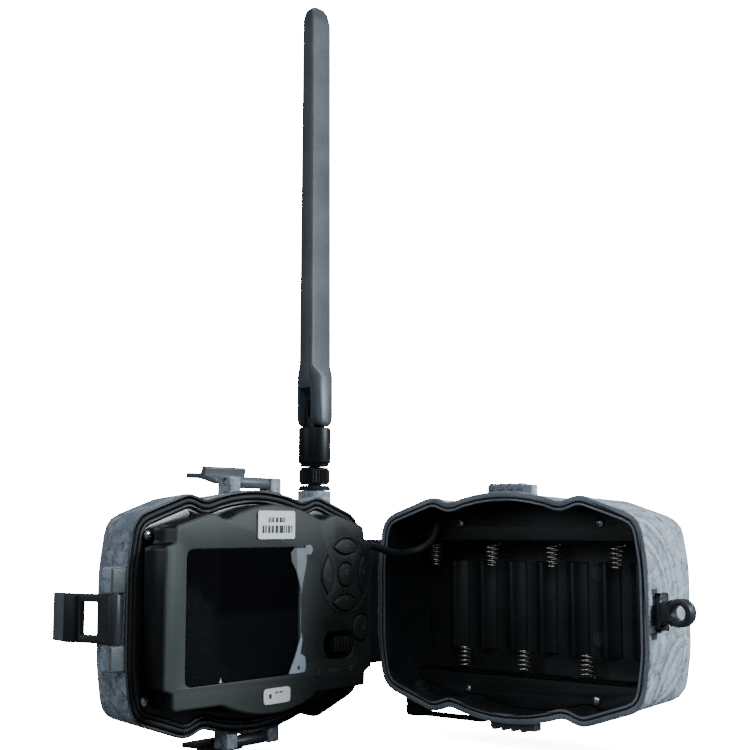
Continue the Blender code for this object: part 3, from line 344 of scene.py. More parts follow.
def bark_print(name, shade, ridges=(), shaded_slots=()):
    """Printed bark camouflage: cloudy patches, curling fissures, twigs and a fine grain, with painted highlights
    and shade on the ridges and painted shade in the slots.
    """
    bark = bpy.context.scene.bark_settings
    pale, middle, dark = [shades(tone[:3], shade)[0] for tone in (bark.pale, bark.middle, bark.dark)]
    finish = Finish(name, middle, 0.62)
    swirled = finish.warped(60.0, 0.012)
    upright = finish.wire.node("ShaderNodeMapping", {"Vector": swirled, "Scale": (1.0, 1.0, 0.55)})
    clouds = finish.noise(bark.patch, 5.0, 0.62, swirled)
    blots = finish.noise(bark.patch * 0.36, 5.0, 0.7, swirled)
    grain = finish.noise(0.0009, 3.0, 0.75)
    twigs = 1 - finish.cells(bark.patch * 0.75, "DISTANCE_TO_EDGE", upright).step(0.0, 0.05)
    curls = 1 - (finish.noise(bark.patch * 0.55, 1.0, 0.4, swirled) - 0.5).absolute().step(0.0, 0.022)
    broken = finish.noise(bark.patch * 0.5, 2.0, 0.5).step(0.44, 0.60)
    tone = (clouds * 0.5 + blots * 0.5 + (grain - 0.5) * 0.30).step(0.4316, 0.5684)
    lines = union([twigs * broken * 0.55, curls * (1 - broken) * 0.5, (1 - blots.step(0.30, 0.42)) * 0.8])
    height = tone * 0.5 - lines * 0.8 + grain * 0.15
    across, depth, up = finish.axes()
    # Each ridge is raised in the bump; its crest is also lightened as a painted highlight, and a painted shade
    # line runs beside it.
    for y, z, radius, middle_y, middle_z, extent in ridges:
        away = (reach(depth, up, y, z) - radius * MM + (clouds - 0.5) * 0.006).absolute()
        near = 1 - reach(depth, up, middle_y, middle_z).step((extent - 3) * MM, extent * MM)
        crest_relief_and_highlight = (1 - away.step(0.0004, 0.0016)) * near * across.step(0.050, 0.056)
        gully_shade = 1 - (away - 0.0022).absolute().step(0.0, 0.0009)
        lines = lines.most(gully_shade * near * 0.55)
        height = height + crest_relief_and_highlight * 2.2
        tone = tone.most(crest_relief_and_highlight * 0.9)
    # Painted shade: the slots and the lug's mount are drawn in the line colour, made 0.35 times as dark, which
    # also darkens this housing's fissures.
    if shaded_slots:
        slot_shade = union([bar(depth, up, RIM_Y + y, z, deep, high) for y, z, deep, high in shaded_slots])
        lines = lines.most(slot_shade.step(-0.0002, 0.0002) * across.step(0.0625, 0.0635))
        dark = shades(dark, 0.35)[0]
    finish.set("Base Color", lines.blend(tone.blend(middle, pale), dark))
    finish.set("Roughness", 0.50 + grain * 0.22)
    finish.bump(height, bark.relief, 0.9)
    return finish.material


def moulded_black(name, base, roughness, grain_size=0.0006, depth=0.00003, shine=0.45):
    """Moulded plastic with a spark-eroded grain and a faint bloom; base is a colour or a setting's name."""
    tone = plastic(base) if isinstance(base, str) else base
    finish = Finish(name, tone, roughness, Specular_IOR_Level=shine)
    cloud = finish.noise(0.018, 3.0)
    grain = finish.noise(grain_size, 2.0, 0.6)
    bloom = tuple(min(c * 1.7 + 0.004, 1.0) for c in tone)
    finish.set("Base Color", (cloud * 0.6 + grain * 0.4).step(0.35, 0.75).blend(tone, bloom))
    finish.set("Roughness", roughness - 0.06 + cloud * 0.10 + grain * 0.06)
    finish.bump(grain, depth, 0.6)
    return finish.material


def tray_plastic(name):
    """Black tray plastic with the round witness marks of its ejector pins."""
    shadow, tone, lit, scuffed = shades(plastic("tray"), 0.8, 1.0, 1.7, 2.6)
    finish = Finish(name, tone, 0.5, Specular_IOR_Level=0.45)
    across, depth, up = finish.axes()
    cloud = finish.noise(0.014, 3.0)
    grain = finish.noise(0.0006, 2.0, 0.6)
    marks = union([ring(across, up, *mark).step(-0.0001, 0.0002) for mark in EJECTOR_MARKS])
    marks = marks * (depth + 0.025).step(0.0, 0.001)
    body = (cloud * 0.7 + grain * 0.3).step(0.35, 0.75).blend(shadow, lit)
    finish.set("Base Color", marks.blend(body, scuffed))
    finish.set("Roughness", 0.44 + cloud * 0.10 + grain * 0.06)
    finish.bump(grain + marks * 2, 0.00005, 0.6)
    return finish.material


def panel_plastic(name):
    """Dark green-grey panel with a sparkling grain, painted shade towards the hinge, its printed marks and two
    pale slivers.
    """
    shadow, tone, lit = shades(plastic("panel"), 0.30, 1.0, 2.0)
    finish = Finish(name, tone, 0.5, Specular_IOR_Level=0.3)
    grain = finish.noise(0.00055, 2.0, 0.7)
    cloud = finish.noise(0.03, 2.0)
    across, up = finish.cover_plan()
    # Painted shade: the panel grows darker towards the hinge.
    shade_towards_hinge = across.step(-0.055, 0.050) * 0.45 + 0.075
    body = ((grain * 0.75 + cloud * 0.25).step(0.30, 0.72) * 0.45 + shade_towards_hinge).blend(shadow, lit)
    shapes = {"bar": bar, "ring": ring}
    ink = union([shapes[kind](across, up, *size).step(-0.00008, 0.00008) for kind, *size in PANEL_MARKS])
    slivers = []
    for x, z, wide, high, slope in FLANGE_SLIVERS:
        along = (across - x * MM) / (wide * MM)
        above = (up - z * MM - (across - x * MM) * slope) / (high * MM)
        slivers.append(1 - ((along ** 2 + above ** 2) ** 0.5).step(0.96, 1.0))
    on_flange = 1 - finish.axes()[0].step(-0.0605, -0.0600)
    printed = (ink * 0.55).blend(body, (0.20, 0.21, 0.21))
    finish.set("Base Color", (union(slivers) * on_flange).blend(printed, (0.62, 0.66, 0.70)))
    finish.set("Roughness", 0.42 + grain * 0.2)
    finish.bump(grain, 0.00006, 0.8)
    return finish.material


def rubber(name):
    """Soft black rubber with a little dust."""
    tone = plastic("rubber")
    finish = Finish(name, tone, 0.55, Specular_IOR_Level=0.35)
    dust = finish.noise(0.006, 4.0, 0.7)
    finish.set("Base Color", dust.step(0.45, 0.85).blend(tone, tuple(c * 2.4 + 0.004 for c in tone)))
    finish.set("Roughness", 0.46 + dust * 0.22)
    finish.bump(finish.noise(0.0009, 2.0), 0.00003, 0.5)
    return finish.material


def plated_metal(name, base, roughness=0.16):
    """Plated metal with handling marks."""
    finish = Finish(name, base, roughness, Metallic=1.0)
    marks = finish.noise(0.0016, 4.0, 0.65)
    finish.set("Base Color", marks.step(0.3, 0.7).blend(*shades(base, 0.72, 1.0)))
    finish.set("Roughness", roughness + marks * 0.22)
    return finish.material


def dark_glass(name):
    """Deep black glossy window."""
    roughness = 0.06
    finish = Finish(name, (0.002, 0.002, 0.003), roughness, Coat_Roughness=0.03, IOR=1.5, Specular_IOR_Level=0.12)
    smear = finish.noise(0.012, 3.0)
    finish.set("Coat Weight", 0.04 + smear * 0.12)
    finish.set("Roughness", roughness + smear * 0.03)
    return finish.material


def lifted_patch(finish, across, up, low, high, sides):
    """Where the film is lifted between two sides, each a list of (share of the height, place across)."""
    share = (up - low * MM) / ((high - low) * MM)
    drawn = [[(place, -shift / FILM_REACH) for place, shift in side] for side in sides]
    left, right = [finish.wire.node("ShaderNodeValToRGB", {0: share}, stops=stops) * (-FILM_REACH * MM)
                   for stops in drawn]
    inside = (left - across).least(across - right).least(up - low * MM).least(high * MM - up)
    return inside.step(-0.0001, 0.0003)


def screen_film(name):
    """Clear protective film: milky where it has lifted off the glass, with a round pull tab and a crease."""
    finish = Finish(name, (0.5, 0.56, 0.62), 0.3)
    across, up = finish.cover_plan()
    wrinkle = finish.noise(0.005, 3.0, 0.6, distortion=0.8)
    tab = 1 - reach(across, up, -18.3, 23.0).step(0.0018, 0.0021)
    corner = (0.0010 - (across - 0.0294).absolute() - (up + 0.0247) * 0.4).step(0.0, 0.0003)
    corner = corner * (up + 0.0246).step(0.0, 0.0002) * (1 - (up + 0.0222).step(0.0, 0.0002))
    crease = (0.0002 - (across + 0.0135 - up * 0.02).absolute()).step(-0.0001, 0.0001)
    crease = crease * (0.022 - up.absolute()).step(0.0, 0.001)
    lifted = union([lifted_patch(finish, across, up, *patch) for patch in FILM_PATCHES] + [tab, corner])
    lower = 1 - up.step(-0.002, 0.002)
    inner = (across + wrinkle * 0.0014 - up * 0.05).step(-0.0118, -0.0112) * (1 - lower)
    milky = lower.blend((0.30, 0.33, 0.35), (0.52, 0.60, 0.70))
    bubble = (1 - reach(across, up, -12.5, -22.3).step(0.0006, 0.0010)) * 0.95
    finish.set("Base Color", inner.blend(milky, (0.155, 0.165, 0.165)))
    finish.set("Alpha", (lifted * (0.82 + lower * 0.16) * (1 - bubble)).most(crease * 0.22).most(0.004))
    finish.set("Roughness", 0.22 + wrinkle * 0.2)
    finish.bump(wrinkle * lifted, 0.0005, 0.6)
    return finish.material


def paper_label(name, rows):
    """White sticker with rows of short printed dashes in place of words."""
    finish = Finish(name, (0.9, 0.91, 0.92), 0.55)
    across, up = finish.cover_plan()
    fibre = finish.noise(0.0008, 3.0)
    dashes = finish.noise(0.0008, 0.0, 0.5, finish.stretched((1, 1, 0.02))).step(0.44, 0.50)
    ink = union([bar(across, up, *row).step(0.0, 0.0001) for row in rows]) * dashes
    paper = fibre.step(0.3, 0.7).blend((0.95, 0.96, 0.97), (0.99, 0.99, 1.0))
    finish.set("Base Color", ink.blend(paper, (0.012, 0.012, 0.014)))
    finish.set("Roughness", 0.48 + fibre * 0.15)
    return finish.material


def circuit_board(name):
    """Green board with its lighter tracks."""
    finish = Finish(name, (0.02, 0.12, 0.06), 0.4)
    tracks = finish.cells(0.004, "DISTANCE_TO_EDGE").step(0.02, 0.06)
    finish.set("Base Color", tracks.blend((0.05, 0.22, 0.10), (0.015, 0.09, 0.045)))
    finish.bump(tracks, 0.00004)
    return finish.material


def frosted_lens(name):
    """Milky motion-sensor lens with its facets."""
    finish = Finish(name, (0.72, 0.74, 0.73), 0.38)
    facets = finish.cells(0.0036, "DISTANCE_TO_EDGE").step(0.0, 0.12)
    finish.set("Base Color", facets.blend((0.50, 0.52, 0.52), (0.76, 0.78, 0.77)))
    finish.set("Roughness", 0.30 + facets * 0.12)
    finish.bump(facets, 0.0002)
    return finish.material


def backdrop_paper(name):
    """White paper that shows bright to the camera, with a soft shade where something stands near it."""
    tone = shades(bpy.context.scene.studio_settings.backdrop[:3], 0.12)[0]
    finish = Finish(name, tone, 0.9, Specular_IOR_Level=0.0)
    open_air = finish.wire.node("ShaderNodeAmbientOcclusion", {"Distance": 0.035}, output=1, samples=8)
    shown = open_air.step(0.0, 0.9).blend((0.10, 0.11, 0.12), (1, 1, 1))
    glow = finish.wire.node("ShaderNodeEmission", {"Color": shown, "Strength": WHITE})
    seen = finish.wire.node("ShaderNodeLightPath")
    plain = Wire(finish.tree, finish.shader.outputs[0])
    mixed = finish.wire.node("ShaderNodeMixShader", {0: seen, 1: plain, 2: glow})
    finish.tree.links.new(mixed.socket, finish.tree.nodes["Material Output"].inputs["Surface"])
    return finish.material


# Each finish: how it is made and with what values. A label's rows are places across and up, width and height.
MAKERS = {
    "bark_rear": (bark_print, 1.0, BARK_RIDGES, SIDE_SLOT_SHADES),
    # The camera housing's bark at 0.67: mostly painted shade for its wall turned from the lights, partly a darker
    # print.
    "bark_front": (bark_print, 0.67),
    "tray_black": (tray_plastic,),
    "rim_grey": (moulded_black, "lip", 0.45),
    "gloss_black": (moulded_black, (0.004, 0.0045, 0.005), 0.28),
    "latch_black": (moulded_black, "black", 0.40),
    "clasp_black": (moulded_black, (0.085, 0.097, 0.108), 0.40),
    "clasp_grip": (moulded_black, (0.120, 0.137, 0.150), 0.45, 0.0012, 0.0001),
    "blade_black": (moulded_black, "blade", 0.36, 0.0004),
    "button_black": (moulded_black, (0.012, 0.0135, 0.013), 0.40),
    "cable_sheath": (moulded_black, (0.030, 0.034, 0.040), 0.42),
    "antenna_black": (moulded_black, (0.0045, 0.005, 0.0058), 0.36, 0.0006, 0.00003, 0.3),
    # Nickel contact plates coloured near black: painted shade, as the plates sit deep in the bay.
    "dull_contact": (plated_metal, (0.045, 0.045, 0.045), 0.45),
    "spring_steel": (plated_metal, (0.86, 0.83, 0.74)),
    "steel": (plated_metal, (0.74, 0.75, 0.76)),
    "brass": (plated_metal, (0.66, 0.50, 0.26)),
    "panel_grey": (panel_plastic,),
    "rubber": (rubber,),
    "screen_glass": (dark_glass,),
    "film": (screen_film,),
    "upper_label": (paper_label, [(0.35, 34.7, 9.7, 2.0), (0.3, 31.1, 17.8, 3.0)]),
    "lower_label": (paper_label, [(-2.0, -30.4, 5.0, 0.7), (3.6, -31.6, 2.8, 1.8)]),
    "board": (circuit_board,),
    "frosted": (frosted_lens,),
    "backdrop": (backdrop_paper,),
}
FINISHES = {}


def finish_for(key):
    """One shared material for each finish, made the first time it is asked for."""
    if key not in FINISHES:
        maker, *values = MAKERS[key]
        FINISHES[key] = maker(key, *values)
    return FINISHES[key]


# ---------------------------------------------------------------- making pieces

def cad_mesh(node, keep=None):
    """A merged copy of a CAD node's mesh, in millimetres, with its flat faces joined but for the edges kept."""
    bm = bmesh.new()
    bm.from_mesh(NODES[node].data)
    bmesh.ops.transform(bm, matrix=Matrix.Scale(1000, 4), verts=bm.verts)
    bmesh.ops.remove_doubles(bm, verts=bm.verts, dist=0.002)
    bmesh.ops.dissolve_limit(bm, angle_limit=math.radians(0.6), verts=bm.verts if keep is None else [],
                             edges=[e for e in bm.edges if keep is None or not keep(e)])
    return bm


def soften(bm, radius, angle=28, segments=2, keep=None):
    """Rounds the edges that turn by more than angle, in millimetres."""
    sharp = [e for e in bm.edges if e.is_manifold and e.calc_face_angle(0) > math.radians(angle)
             and (keep is None or keep(e))]
    bmesh.ops.bevel(bm, geom=sharp, offset=radius, offset_type="OFFSET", segments=segments, profile=0.5,
                    affect="EDGES", material=-1, clamp_overlap=False, miter_outer="ARC")


def piece(name, bm, body, finish, replaces=(), smooth=40):
    """Finished object from a mesh drawn in millimetres in the row frame."""
    bmesh.ops.transform(bm, matrix=TO_METRES, verts=bm.verts)
    mesh = bpy.data.meshes.new(name)
    bm.to_mesh(mesh)
    bm.free()
    for key in (finish if isinstance(finish, (list, tuple)) else [finish]):
        mesh.materials.append(finish_for(key))
    mesh.shade_smooth()
    mesh.set_sharp_from_angle(angle=math.radians(smooth))
    obj = bpy.data.objects.new(name, mesh)
    bpy.context.scene.collection.objects.link(obj)
    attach(obj, body)
    if replaces:
        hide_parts(*replaces)
    return obj


def dress(node, finish):
    """Better material on a CAD node that stays as it is."""
    mesh = NODES[node].data
    mesh.materials.clear()
    mesh.materials.append(finish_for(finish))


def moved(bm, matrix, verts=None):
    bmesh.ops.transform(bm, matrix=matrix, verts=verts or bm.verts)


def new_verts(made):
    """The vertices in an operator's result."""
    return [item for item in made["geom"] if isinstance(item, bmesh.types.BMVert)]


def edges_within(made, verts):
    """The edges in an operator's result that join two of those vertices."""
    return [item for item in made["geom"] if isinstance(item, bmesh.types.BMEdge)
            and all(v in verts for v in item.verts)]


def cover_place(face):
    """A face's middle and normal with the cover closed."""
    return UNCOVER @ face.calc_center_median(), UNCOVER.to_3x3() @ face.normal


def outwardness(face):
    """How far a face of the cover looks outward, from -1 to 1."""
    centre, normal = cover_place(face)
    return Vector((centre.x * 0.7, 0, centre.z)).normalized().dot(normal)


def middle(node):
    """The middle of a node's box, in millimetres."""
    low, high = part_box(node)
    return (Vector(low) + Vector(high)) / 2 / MM


def smooth_route(knots, per_span):
    """Points of a Catmull-Rom curve through the knots."""
    padded = [knots[0]] + list(knots) + [knots[-1]]
    route = []
    for a, b, c, d in zip(padded, padded[1:], padded[2:], padded[3:]):
        for k in range(per_span):
            t = k / per_span
            route.append([(2 * q + (r - p) * t + (2 * p - 5 * q + 4 * r - s) * t ** 2
                           + (3 * q - p - 3 * r + s) * t ** 3) / 2 for p, q, r, s in zip(a, b, c, d)])
    route.append(list(knots[-1]))
    return [Vector((x, RIM_Y + y, z)) * MM for x, y, z in route]


# ---------------------------------------------------------------- operators

class TRAILCAM_OT_camera(bpy.types.Operator):
    """Camera at the product view's angle"""
    bl_idname = "trailcam.camera"
    bl_label = "Camera"

    def execute(self, context):
        studio = context.scene.studio_settings
        data = bpy.data.cameras.new("product_view")
        data.lens = studio.lens
        data.sensor_width = 36
        data.clip_start = 0.01
        camera = bpy.data.objects.new("product_view", data)
        context.scene.collection.objects.link(camera)
        turn = Matrix.Rotation(studio.turn, 4, "Z") @ Matrix.Rotation(math.pi / 2 + studio.pitch, 4, "X")
        camera.matrix_world = Matrix.Translation(studio.eye) @ turn
        context.scene.camera = camera
        return {"FINISHED"}


class TRAILCAM_OT_cable(bpy.types.Operator):
    """Power lead that crosses the hinge"""
    bl_idname = "trailcam.cable"
    bl_label = "Power cable"

    def execute(self, context):
        route = smooth_route(CABLE_ROUTE, 2)
        data = bpy.data.curves.new("power_lead", "CURVE")
        data.dimensions = "3D"
        data.bevel_depth = CABLE_WIDTH / 2 * MM
        data.bevel_resolution = 4
        data.resolution_u = 1
        data.use_fill_caps = True
        spline = data.splines.new("POLY")
        spline.points.add(len(route) - 1)
        for target, place in zip(spline.points, route):
            target.co = (*place, 1.0)
        data.materials.append(finish_for("cable_sheath"))
        lead = bpy.data.objects.new("power_lead", data)
        context.scene.collection.objects.link(lead)
        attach(lead, "camera_housing")
        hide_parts("power_cable")
        return {"FINISHED"}


class TRAILCAM_OT_housings(bpy.types.Operator):
    """Bark-printed housings with unprinted rims and black insides"""
    bl_idname = "trailcam.housings"
    bl_label = "Housings"

    def execute(self, context):
        radius = context.scene.plastic_settings.soften / MM
        self.rear(radius)
        self.front(radius)
        return {"FINISHED"}

    def rear(self, radius):
        """Battery housing: bark outside, grey rim, black inside, dark hinge."""
        bark, lip, inside, hinge = range(4)
        bm = cad_mesh("rear_housing", lambda e: max(v.co.y for v in e.verts) < RIM_Y + 1)
        for face in bm.faces:
            centre, normal = face.calc_center_median(), face.normal
            depth = centre.y - RIM_Y
            inward = centre.x * normal.x + centre.z * normal.z < 0
            in_case = abs(centre.x) < 64.9 and abs(centre.z) < 46.8
            at_hinge = centre.x < HINGE_SIDE and abs(centre.z) < HINGE_REACH
            in_catch = abs(centre.z) > 47.05 and abs(centre.x + 1.7) < 8.3 and 5.15 < depth < 10.3
            on_rim = in_case and depth < 0.5 and normal.y < -0.7
            within = in_case and centre.y < -8 and (inward or normal.y < -0.7 or depth < 1.2)
            face.material_index = hinge if at_hinge else lip if in_catch or on_rim else inside if within else bark
        soften(bm, radius)
        piece("rear_shell", bm, "battery_housing", ["bark_rear", "rim_grey", "tray_black", "latch_black"],
              ["rear_housing"])

    def front(self, radius):
        """Camera housing: bark outside, grey rim with a dark edge, black inside, dark hinge and clasp ears."""
        bark, lip, inside, gloss, ear = range(5)
        bm = cad_mesh("front_housing", lambda e: min(v.co.x for v in e.verts) > -66)
        outer_wall = {face for face in bm.faces if outwardness(face) > 0.5
                      and min((UNCOVER @ v.co).y for v in face.verts) < -3.5}
        for face in bm.faces:
            centre, normal = cover_place(face)
            from_antenna = math.hypot(centre.x - ANTENNA_AXIS[0], centre.y - ANTENNA_AXIS[1])
            outside = abs(centre.x) > 65.1 or abs(centre.z) > 47 or centre.y < -33
            if centre.x < HINGE_SIDE and abs(centre.z) < HINGE_REACH:
                face.material_index = gloss
            elif centre.x > 64.5 and 8.9 < abs(centre.z) < 18.1 and normal.y > 0.7:
                face.material_index = ear
            elif outside or from_antenna < 9 and centre.z > 36:
                face.material_index = bark
            elif centre.y > -0.2 and normal.y > 0.7:
                at_edge = any(other in outer_wall for edge in face.edges for other in edge.link_faces)
                face.material_index = gloss if at_edge else lip
            elif face not in outer_wall and (outwardness(face) < 0.1 or normal.y > 0.7 or centre.y > -4):
                face.material_index = inside
        soften(bm, radius)
        piece("front_shell", bm, "camera_housing",
              ["bark_front", "rim_grey", "tray_black", "gloss_black", "clasp_black"],
              ["front_housing"])


class TRAILCAM_OT_gasket(bpy.types.Operator):
    """Rubber gasket in the cover's groove"""
    bl_idname = "trailcam.gasket"
    bl_label = "Gasket"

    def execute(self, context):
        bm = cad_mesh("gasket")
        soften(bm, 0.5, segments=3)
        piece("gasket_bead", bm, "camera_housing", "rubber", ["gasket"])
        return {"FINISHED"}


class TRAILCAM_OT_panel(bpy.types.Operator):
    """Control panel with its printed marks and pocket, and a bead around the pad"""
    bl_idname = "trailcam.panel"
    bl_label = "Control panel"

    def execute(self, context):
        bm = cad_mesh("control_panel")
        for face in bm.faces:
            centre, normal = cover_place(face)
            on_flange = centre.y < -0.5 and normal.y > 0.7 and abs(centre.z) > 29.5 and centre.x < 52
            if not on_flange and (centre.y < PANEL_FACE - 0.75 or normal.y < 0.3):
                face.material_index = 1
        soften(bm, 0.35, keep=lambda e: e.is_convex)
        self.pad_ring(bm)
        piece("panel_shell", bm, "camera_housing", ["panel_grey", "gloss_black"], ["control_panel"])
        return {"FINISHED"}

    def pad_ring(self, bm):
        """Low bead around the five-way pad."""
        section = [(15.2, -0.3), (15.75, -0.3), (15.75, 0.12), (15.6, 0.25), (15.35, 0.25), (15.2, 0.12)]
        verts = [bm.verts.new((radius, 0, height)) for radius, height in section]
        edges = [bm.edges.new((verts[k - 1], verts[k])) for k in range(len(verts))]
        made = bmesh.ops.spin(bm, geom=verts + edges, cent=(0, 0, 0), axis=(0, 0, 1), dvec=(0, 0, 0),
                              angle=math.tau, steps=72, use_merge=True, use_duplicate=False)
        ring = set(verts) | {v for v in made["geom_last"] if isinstance(v, bmesh.types.BMVert)}
        grown = True
        while grown:
            more = {e.other_vert(v) for v in ring for e in v.link_edges} - ring
            grown = bool(more)
            ring |= more
        bmesh.ops.recalc_face_normals(bm, faces=list({f for v in ring for f in v.link_faces}))
        plan = Matrix.Translation((PAD_CENTRE[0], PANEL_FACE, PAD_CENTRE[1]))
        moved(bm, COVER @ plan @ Matrix.Rotation(-math.pi / 2, 4, "X"), list(ring))


class TRAILCAM_OT_screen(bpy.types.Operator):
    """Display window, its protective film and the labels"""
    bl_idname = "trailcam.screen"
    bl_label = "Screen"

    def execute(self, context):
        dress("screen_window", "screen_glass")
        bm = cad_mesh("screen_film")
        tab = bmesh.ops.create_cone(bm, cap_ends=True, segments=40, radius1=2.3, radius2=2.3, depth=0.3)["verts"]
        plan = Matrix.Translation((-18.2, PANEL_FACE + 0.5, 23.0))
        moved(bm, COVER @ plan @ Matrix.Rotation(math.pi / 2, 4, "X"), tab)
        piece("protective_film", bm, "camera_housing", "film", ["screen_film"])
        dress("upper_label", "upper_label")
        dress("lower_label", "lower_label")
        dress("main_board", "board")
        return {"FINISHED"}


class TRAILCAM_OT_buttons(bpy.types.Operator):
    """Five-way pad, round button and slide switch"""
    bl_idname = "trailcam.buttons"
    bl_label = "Buttons"

    def execute(self, context):
        for name in ("up", "left", "down", "right", "ok", "round"):
            node = f"button_{name}"
            bm = cad_mesh(node)
            soften(bm, 0.25)
            piece(f"{node}_cap", bm, node, "panel_grey", [node])
        bm = cad_mesh("slide_switch")
        soften(bm, 0.12)
        piece("switch_knob", bm, "slide_switch", "button_black", ["slide_switch"])
        return {"FINISHED"}


class TRAILCAM_OT_battery_bay(bpy.types.Operator):
    """Battery tray, cell springs and contact plates"""
    bl_idname = "trailcam.battery_bay"
    bl_label = "Battery bay"

    def execute(self, context):
        bm = cad_mesh("battery_tray")
        soften(bm, 0.25)
        piece("tray_moulding", bm, "battery_housing", "tray_black", ["battery_tray"])
        springs = context.scene.spring_settings
        for k in range(CELL_COUNT):
            self.spring(k, springs)
        # The contact plates are near black: painted shade in place of bright nickel.
        for k in range(CELL_COUNT + 1):
            node = f"contact_plate_{k + 1}"
            bm = cad_mesh(node)
            soften(bm, 0.12)
            piece(f"contact_strip_{k + 1}", bm, "battery_housing", "dull_contact", [node])
        return {"FINISHED"}

    def spring(self, k, settings):
        """Conical coil between its node's ends, from a wire section swept round the cell's axis."""
        low, high = [Vector(corner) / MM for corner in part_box(f"battery_spring_{k + 1}")]
        upper = k % 2 == 0
        wire = settings.wire / MM / 2
        per_turn = 20
        steps = settings.turns * per_turn
        y = CELL_AXIS + RIM_Y
        x = (k - (CELL_COUNT - 1) / 2) * CELL_PITCH
        start, end = (high.z - wire, low.z + wire) if upper else (low.z + wire, high.z - wire)
        bm = bmesh.new()
        rings = []
        for i in range(steps + 1):
            t = i / steps
            angle = math.tau * i / per_turn
            radius = (settings.wide / 2 * (1 - t) + settings.narrow / 2 * t) / MM
            section = bmesh.ops.create_circle(bm, segments=10, radius=wire, cap_ends=i in (0, steps))["verts"]
            out = Matrix.Rotation(angle, 4, "Z") @ Matrix.Translation((radius, 0, 0))
            height = start + (end - start) * t
            moved(bm, Matrix.Translation((x, y, height)) @ out @ Matrix.Rotation(math.pi / 2, 4, "X"), section)
            rings.append(section)
        for near, far in zip(rings, rings[1:]):
            edges = {e for v in near + far for e in v.link_edges
                     if all(w in near for w in e.verts) or all(w in far for w in e.verts)}
            bmesh.ops.bridge_loops(bm, edges=list(edges))
        bmesh.ops.recalc_face_normals(bm, faces=bm.faces)
        piece(f"cell_spring_{k + 1}", bm, "battery_housing", "spring_steel",
              [f"battery_spring_{k + 1}"], smooth=60)


class TRAILCAM_OT_fasteners(bpy.types.Operator):
    """Cross-head screws and pins"""
    bl_idname = "trailcam.fasteners"
    bl_label = "Fasteners"

    def execute(self, context):
        for node in ("hinge_pin", "top_hook_pin", "bottom_hook_pin", "clasp_pin"):
            dress(node, "steel")
        for k in range(4):
            centre = middle(f"tray_screw_{k + 1}")
            place = Matrix.Translation((centre.x, RIM_Y + 20.0, centre.z)) @ Matrix.Rotation(math.pi / 2, 4, "X")
            self.screw(f"tray_screw_head_{k + 1}", place, "battery_housing", f"tray_screw_{k + 1}", 20 + 37 * k)
        for k in range(2):
            centre = middle(f"panel_screw_{k + 1}")
            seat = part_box(f"panel_screw_{k + 1}")[1][0] / MM - 1.3
            place = Matrix.Translation((seat, centre.y, centre.z)) @ Matrix.Rotation(math.pi / 2, 4, "Y")
            self.screw(f"panel_screw_head_{k + 1}", place, "camera_housing", f"panel_screw_{k + 1}", 15 + 40 * k)
        return {"FINISHED"}

    def screw(self, name, place, body, node, turn):
        """Pan head with a cross recess and a tapered shank."""
        bm = bmesh.new()
        rim = bmesh.ops.create_circle(bm, segments=32, radius=1.75)["verts"]
        bmesh.ops.translate(bm, verts=rim, vec=(0, 0, 0.25))
        loop = list({e for v in rim for e in v.link_edges})
        for rise, narrowing in ((0.55, 0.93), (0.32, 0.72)):
            made = bmesh.ops.extrude_edge_only(bm, edges=loop)
            crown = new_verts(made)
            bmesh.ops.translate(bm, verts=crown, vec=(0, 0, rise))
            bmesh.ops.scale(bm, verts=crown, vec=(narrowing, narrowing, 1))
            loop = edges_within(made, crown)
        arm, half = 0.95, 0.24
        quarter = [(half, half), (half, arm), (-half, arm)]
        corners = []
        for _ in range(4):
            corners += quarter
            quarter = [(-y, x) for x, y in quarter]
        cross = [bm.verts.new((x, y, 1.2)) for x, y in corners]
        cross_edges = [bm.edges.new((cross[i - 1], cross[i])) for i in range(len(cross))]
        bmesh.ops.triangle_fill(bm, edges=loop + cross_edges, use_beauty=True)
        inside = [f for f in bm.faces if all(v in cross for v in f.verts)]
        bmesh.ops.delete(bm, geom=inside, context="FACES_ONLY")
        floor = new_verts(bmesh.ops.extrude_edge_only(bm, edges=cross_edges))
        bmesh.ops.translate(bm, verts=floor, vec=(0, 0, -0.7))
        bmesh.ops.scale(bm, verts=floor, vec=(0.6, 0.6, 1))
        bmesh.ops.contextual_create(bm, geom=floor)
        bmesh.ops.contextual_create(bm, geom=rim)
        shank = bmesh.ops.create_cone(bm, cap_ends=True, segments=16, radius1=0.3, radius2=1.05,
                                      depth=7.5)["verts"]
        bmesh.ops.translate(bm, verts=shank, vec=(0, 0, -3.5))
        bmesh.ops.recalc_face_normals(bm, faces=bm.faces)
        moved(bm, place @ Matrix.Rotation(math.radians(turn), 4, "Z"))
        piece(name, bm, body, "steel", [node], smooth=30)


class TRAILCAM_OT_rear_fittings(bpy.types.Operator):
    """Padlock lug, charging socket, dust plug and tripod insert"""
    bl_idname = "trailcam.rear_fittings"
    bl_label = "Rear fittings"

    def execute(self, context):
        bm = cad_mesh("padlock_lug")
        soften(bm, 0.7, segments=3)
        piece("padlock_ring", bm, "battery_housing", "latch_black", ["padlock_lug"])
        bm = cad_mesh("dust_plug")
        soften(bm, 0.25)
        piece("plug_rubber", bm, "dust_plug", "rubber", ["dust_plug"])
        dress("power_jack", "tray_black")
        dress("tripod_insert", "brass")
        return {"FINISHED"}


class TRAILCAM_OT_latches(bpy.types.Operator):
    """Top and bottom hook levers and the side clasp"""
    bl_idname = "trailcam.latches"
    bl_label = "Latches"

    def execute(self, context):
        pin = middle("clasp_pin").xy
        lever, ridge, grip = range(3)
        for node, body, finish in (("top_hook", "top_latch", "clasp_black"),
                                   ("bottom_hook", "bottom_latch", "latch_black"),
                                   ("side_clasp", "side_latch", "latch_black")):
            bm = cad_mesh(node)
            for face in bm.faces if node == "side_clasp" else ():
                away = (face.calc_center_median().xy - pin).length
                face.material_index = grip if away > 22.5 else ridge if away > 15.5 else lever
            soften(bm, 0.22)
            piece(f"{node}_lever", bm, body, [finish, "button_black", "clasp_grip"], [node])
        return {"FINISHED"}


